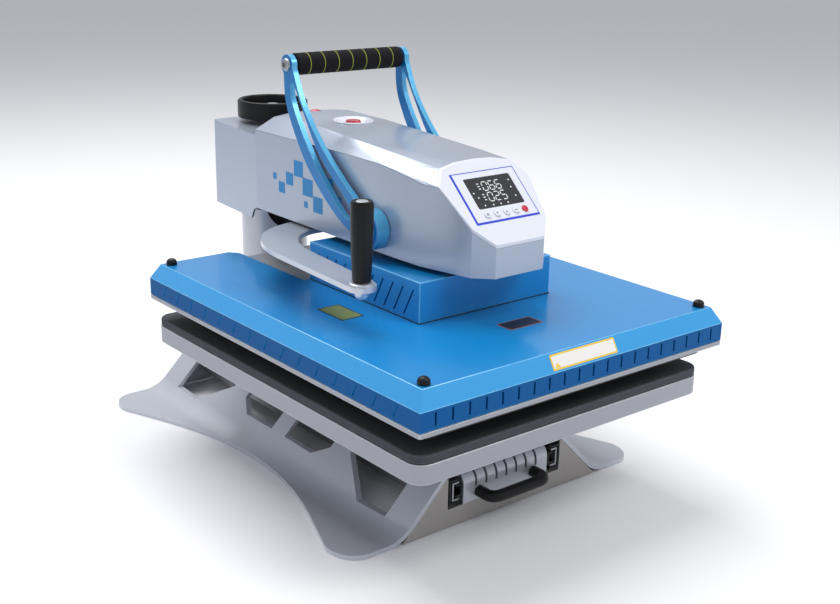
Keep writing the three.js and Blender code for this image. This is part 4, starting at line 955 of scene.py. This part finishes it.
@dataclass
class Head:
    """Housing, top cover, button, lamp, swing plate and the squares on the sides."""

    shop: Workshop
    edge: float = 1.6
    square: float = 18.5
    scatter: tuple[tuple[float, float, float], ...] = (
        (1.1, 1.5, 1.0), (2.1, 0.7, 0.8), (3.0, 0.0, 0.7), (3.8, 0.6, 0.4), (0.1, 0.5, 1.1), (-1.0, -0.4, 1.0),
        (-2.1, 1.0, 1.0), (-3.1, 0.2, 0.7), (0.3, -0.6, 0.4), (-0.9, 1.6, 0.45))

    def build(self) -> None:
        """Dress the head."""
        self.shop.refine("head_housing", "head_lacquer", self.edge, sharp_over=20, shortest=6, flat_below=2.0)
        self.shop.refine("head_top_cover", "head_lacquer", self.edge, sharp_over=14, shortest=10)
        self.shop.refine("pivot_shaft", "black_oxide", 0.6, sharp_over=60)
        self.shop.refine("head_frame", "zinc_plate", 0.4, sharp_over=60)
        self.shop.refine("button_dish", "white_moulding", 0.0)
        self.shop.refine("release_button", "red_moulding", 0.0)
        self.shop.refine("status_lamp", "red_moulding", 0.0)
        self.shop.refine("swing_plate", "polished_plate", 0.9, sharp_over=40)
        self.shop.refine("swing_bolt", "polished_plate", 0.0)
        self.shop.refine("swing_grip", "black_moulding", 0.0)
        self.shop.refine("power_inlet", "black_moulding", 0.4, sharp_over=60)
        self.shop.refine("power_rocker", "red_moulding", 0.5)
        self.side_squares()
        self.rear_screws()

    def side_squares(self) -> None:
        """Scatter blue squares over both flat sides of the housing."""
        low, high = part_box("head_housing")
        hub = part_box("lever_arm_left")[0][1]
        start_y = hub + 152 * MM
        start_z = low[2] + 52 * MM
        for label, x, across in (("left", low[0], -1.0), ("right", high[0], 1.0)):
            place = facing(Vector((x + across * 0.03 * MM, start_y, start_z)), Vector((0, across, 0)), Vector((0, 0, 1)))
            flip = across
            tiles = []
            for column, row, size in self.scatter:
                half = self.square * size / 2
                cx, cy = flip * column * self.square, row * self.square
                tiles.append(slab([(cx - half, cy - half), (cx + half, cy - half), (cx + half, cy + half),
                                   (cx - half, cy + half)], 0.1, place))
            self.shop.piece(f"side_squares_{label}", joined(tiles), "decal_blue", "head")

    def rear_screws(self) -> None:
        """Fix the inlet's flange and the housing's rear wall with screws."""
        low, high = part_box("power_inlet")
        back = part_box("head_housing")[1][1] + 0.05 * MM
        middle_z = (low[2] + high[2]) / 2
        spots = [(side * 44 * MM, middle_z + rise * MM) for side in (-1, 1) for rise in (-22, 55)]
        heads = [socket_screw(facing(Vector((x, back, z)), Vector((-1, 0, 0)), Vector((0, 0, 1))), 4.0, 2.4)
                 for x, z in spots]
        self.shop.piece("housing_rear_screws", joined(heads), "black_moulding", "head")


@dataclass
class Lever:
    """Arms, axle, link, hand bar and foam grip."""

    shop: Workshop
    rings: int = 7
    ring_width: float = 1.2

    def build(self) -> None:
        """Dress the lever."""
        for side in ("left", "right"):
            arm = self.shop.refine(f"lever_arm_{side}", "blue_anodised", 1.1, sharp_over=36)
            # Faces that do not point sideways, the arms' rims, get the lighter copy as painted highlight.
            self.shop.tint(arm, "blue_anodised_painted_highlight", 0, 0.0, 0.8)
            self.shop.refine(f"lever_bolt_{side}", "zinc_plate", 0.0)
        self.shop.dress("lever_axle", "zinc_plate")
        self.shop.dress("toggle_link", "zinc_plate")
        self.shop.dress("lever_bar", "zinc_plate")
        self.foam()
        self.hub_screws()

    def foam(self) -> None:
        """Make the foam sleeve with rounded ends and its printed rings."""
        low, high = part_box("foam_grip")
        middle = (Vector(low) + Vector(high)) / 2
        half = (high[0] - low[0]) / 2 / MM
        radius = (high[2] - low[2]) / 2 / MM
        place = Matrix.Translation(middle) @ Matrix.Rotation(math.pi / 2, 4, "Y")
        bore = radius - 4.2
        steps = 60
        profile = [(bore, -half)] + [(radius - 1.4, -half), (radius - 0.4, -half + 0.8)]
        for i in range(steps + 1):
            along = -half + 2 + (2 * half - 4) * i / steps
            profile.append((radius - 0.12 * (1 + math.cos(along * 0.55)) / 2, along))
        profile += [(radius - 0.4, half - 0.8), (radius - 1.4, half), (bore, half), (bore, -half)]
        grip = self.shop.piece("foam_sleeve", lathe(profile, place, 48), "black_foam", "lever", 60)
        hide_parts("foam_grip")
        self.shop.slot_of("foam_grip")
        bands = []
        for i in range(self.rings):
            along = (i - (self.rings - 1) / 2) * (2 * half - 12) / self.rings
            w = self.ring_width / 2
            bands.append(lathe([(radius - 0.6, along - w), (radius + 0.12, along - w * 0.8),
                                (radius + 0.12, along + w * 0.8), (radius - 0.6, along + w)], place, 48))
        self.shop.piece("foam_rings", joined(bands), "ring_print", "lever")

    def hub_screws(self) -> None:
        """Close each hub with a recessed disc and a socket screw."""
        low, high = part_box("lever_axle")
        y = (low[1] + high[1]) / 2
        z = (low[2] + high[2]) / 2
        for side, name, across in ((-1, "left", -1.0), (1, "right", 1.0)):
            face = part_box(f"lever_arm_{name}")[0 if side < 0 else 1][0]
            origin = Vector((face + across * 0.05 * MM, y, z))
            place = facing(origin, Vector((0, across, 0)), Vector((0, 0, 1)))
            disc = lathe([(0.0, 0.0), (17.5, 0.0), (17.5, 1.2), (16.6, 2.0), (9.5, 2.0), (9.0, 1.4), (0.0, 1.4)], place, 48)
            screw = socket_screw(place @ Matrix.Translation((0, 0, 1.4 * MM)), 5.5, 3.2)
            self.shop.piece(f"hub_disc_{name}", disc, "blue_anodised", "lever")
            self.shop.piece(f"hub_screw_{name}", screw, "polished_plate", "lever")


@dataclass
class PressureWheel:
    """Handwheel and screw on the head's rear end."""

    shop: Workshop

    def build(self) -> None:
        """Dress the wheel."""
        self.shop.refine("handwheel", "black_moulding", 0.7, sharp_over=50)
        self.shop.refine("adjusting_screw", "polished_plate", 0.8, sharp_over=60)


@dataclass
class Studio:
    """Floor, lights, world and camera."""

    shop: Workshop
    azimuth: float = -39.44
    elevation: float = 17.89
    roll: float = 1.22
    distance: float = 1.45
    aim: tuple[float, float, float] = (0.0411, -0.0064, 0.1734)
    lens: float = 52.37

    def build(self) -> None:
        """Set the stage."""
        self.floor()
        self.world()
        self.light("key_softbox", (0.9, -1.6, 2.2), 1.2, 26, (1.0, 0.985, 0.96))
        self.light("left_softbox", (-2.2, -0.7, 1.6), 1.2, 4, (0.93, 0.96, 1.0))
        self.light("top_softbox", (0.0, 0.9, 2.3), 1.8, 48, (1.0, 1.0, 1.0))
        self.camera()

    def floor(self) -> None:
        """Lay the pale floor under the press."""
        mesh = slab([(-9000, -9000), (9000, -9000), (9000, 9000), (-9000, 9000)], 1.0,
                    Matrix.Translation((0, 0, CAD_BOX[0][2] - 1.0 * MM)))
        data = bpy.data.meshes.new("floor")
        mesh.to_mesh(data)
        mesh.free()
        data.materials.append(self.shop.materials["pale_floor"])
        plane = bpy.data.objects.new("floor", data)
        bpy.context.collection.objects.link(plane)

    @staticmethod
    def world() -> None:
        """Give an even pale surround."""
        world = bpy.data.worlds.new("surround")
        world.use_nodes = True
        sky = world.node_tree.nodes["Background"]
        sky.inputs["Color"].default_value = (0.93, 0.95, 1.0, 1.0)
        sky.inputs["Strength"].default_value = 0.5
        bpy.context.scene.world = world
        bpy.context.scene.view_settings.view_transform = "Standard"

    def light(self, name: str, place: Sequence[float], size: float, power: float, colour: Sequence[float]) -> None:
        """Hang a square softbox that looks at the press.

        Args:
            name: the light's name.
            place: its position, metres.
            size: its side, metres.
            power: watts.
            colour: its tint.
        """
        lamp = bpy.data.lights.new(name, "AREA")
        lamp.size = size
        lamp.energy = power
        lamp.color = colour
        holder = bpy.data.objects.new(name, lamp)
        holder.location = place
        look = Vector(self.aim) - Vector(place)
        holder.rotation_euler = look.to_track_quat("-Z", "Y").to_euler()
        bpy.context.collection.objects.link(holder)

    def camera(self) -> None:
        """Stand the camera at the viewing angle."""
        a, e = math.radians(self.azimuth), math.radians(self.elevation)
        back = Vector((math.sin(a) * math.cos(e), -math.cos(a) * math.cos(e), math.sin(e)))
        lens = bpy.data.cameras.new("camera")
        lens.lens = self.lens
        lens.sensor_width = 36.0
        holder = bpy.data.objects.new("camera", lens)
        turn = back.to_track_quat("Z", "Y").to_matrix().to_4x4()
        spin = Matrix.Rotation(math.radians(self.roll), 4, "Z")
        holder.matrix_world = Matrix.Translation(Vector(self.aim) + back * self.distance) @ turn @ spin
        bpy.context.collection.objects.link(holder)
        bpy.context.scene.camera = holder


def main() -> None:
    """Dress the whole press in order."""
    logging.basicConfig(level=logging.INFO, format="%(name)s: %(message)s")
    shop = Workshop()
    for part in (Studio(shop), Base(shop), Drawer(shop), UpperPlaten(shop), ControlPanel(shop), Head(shop),
                 Lever(shop), PressureWheel(shop)):
        part.build()
        LOG.info("built %s", type(part).__name__)


if __name__ == "__main__":
    main()
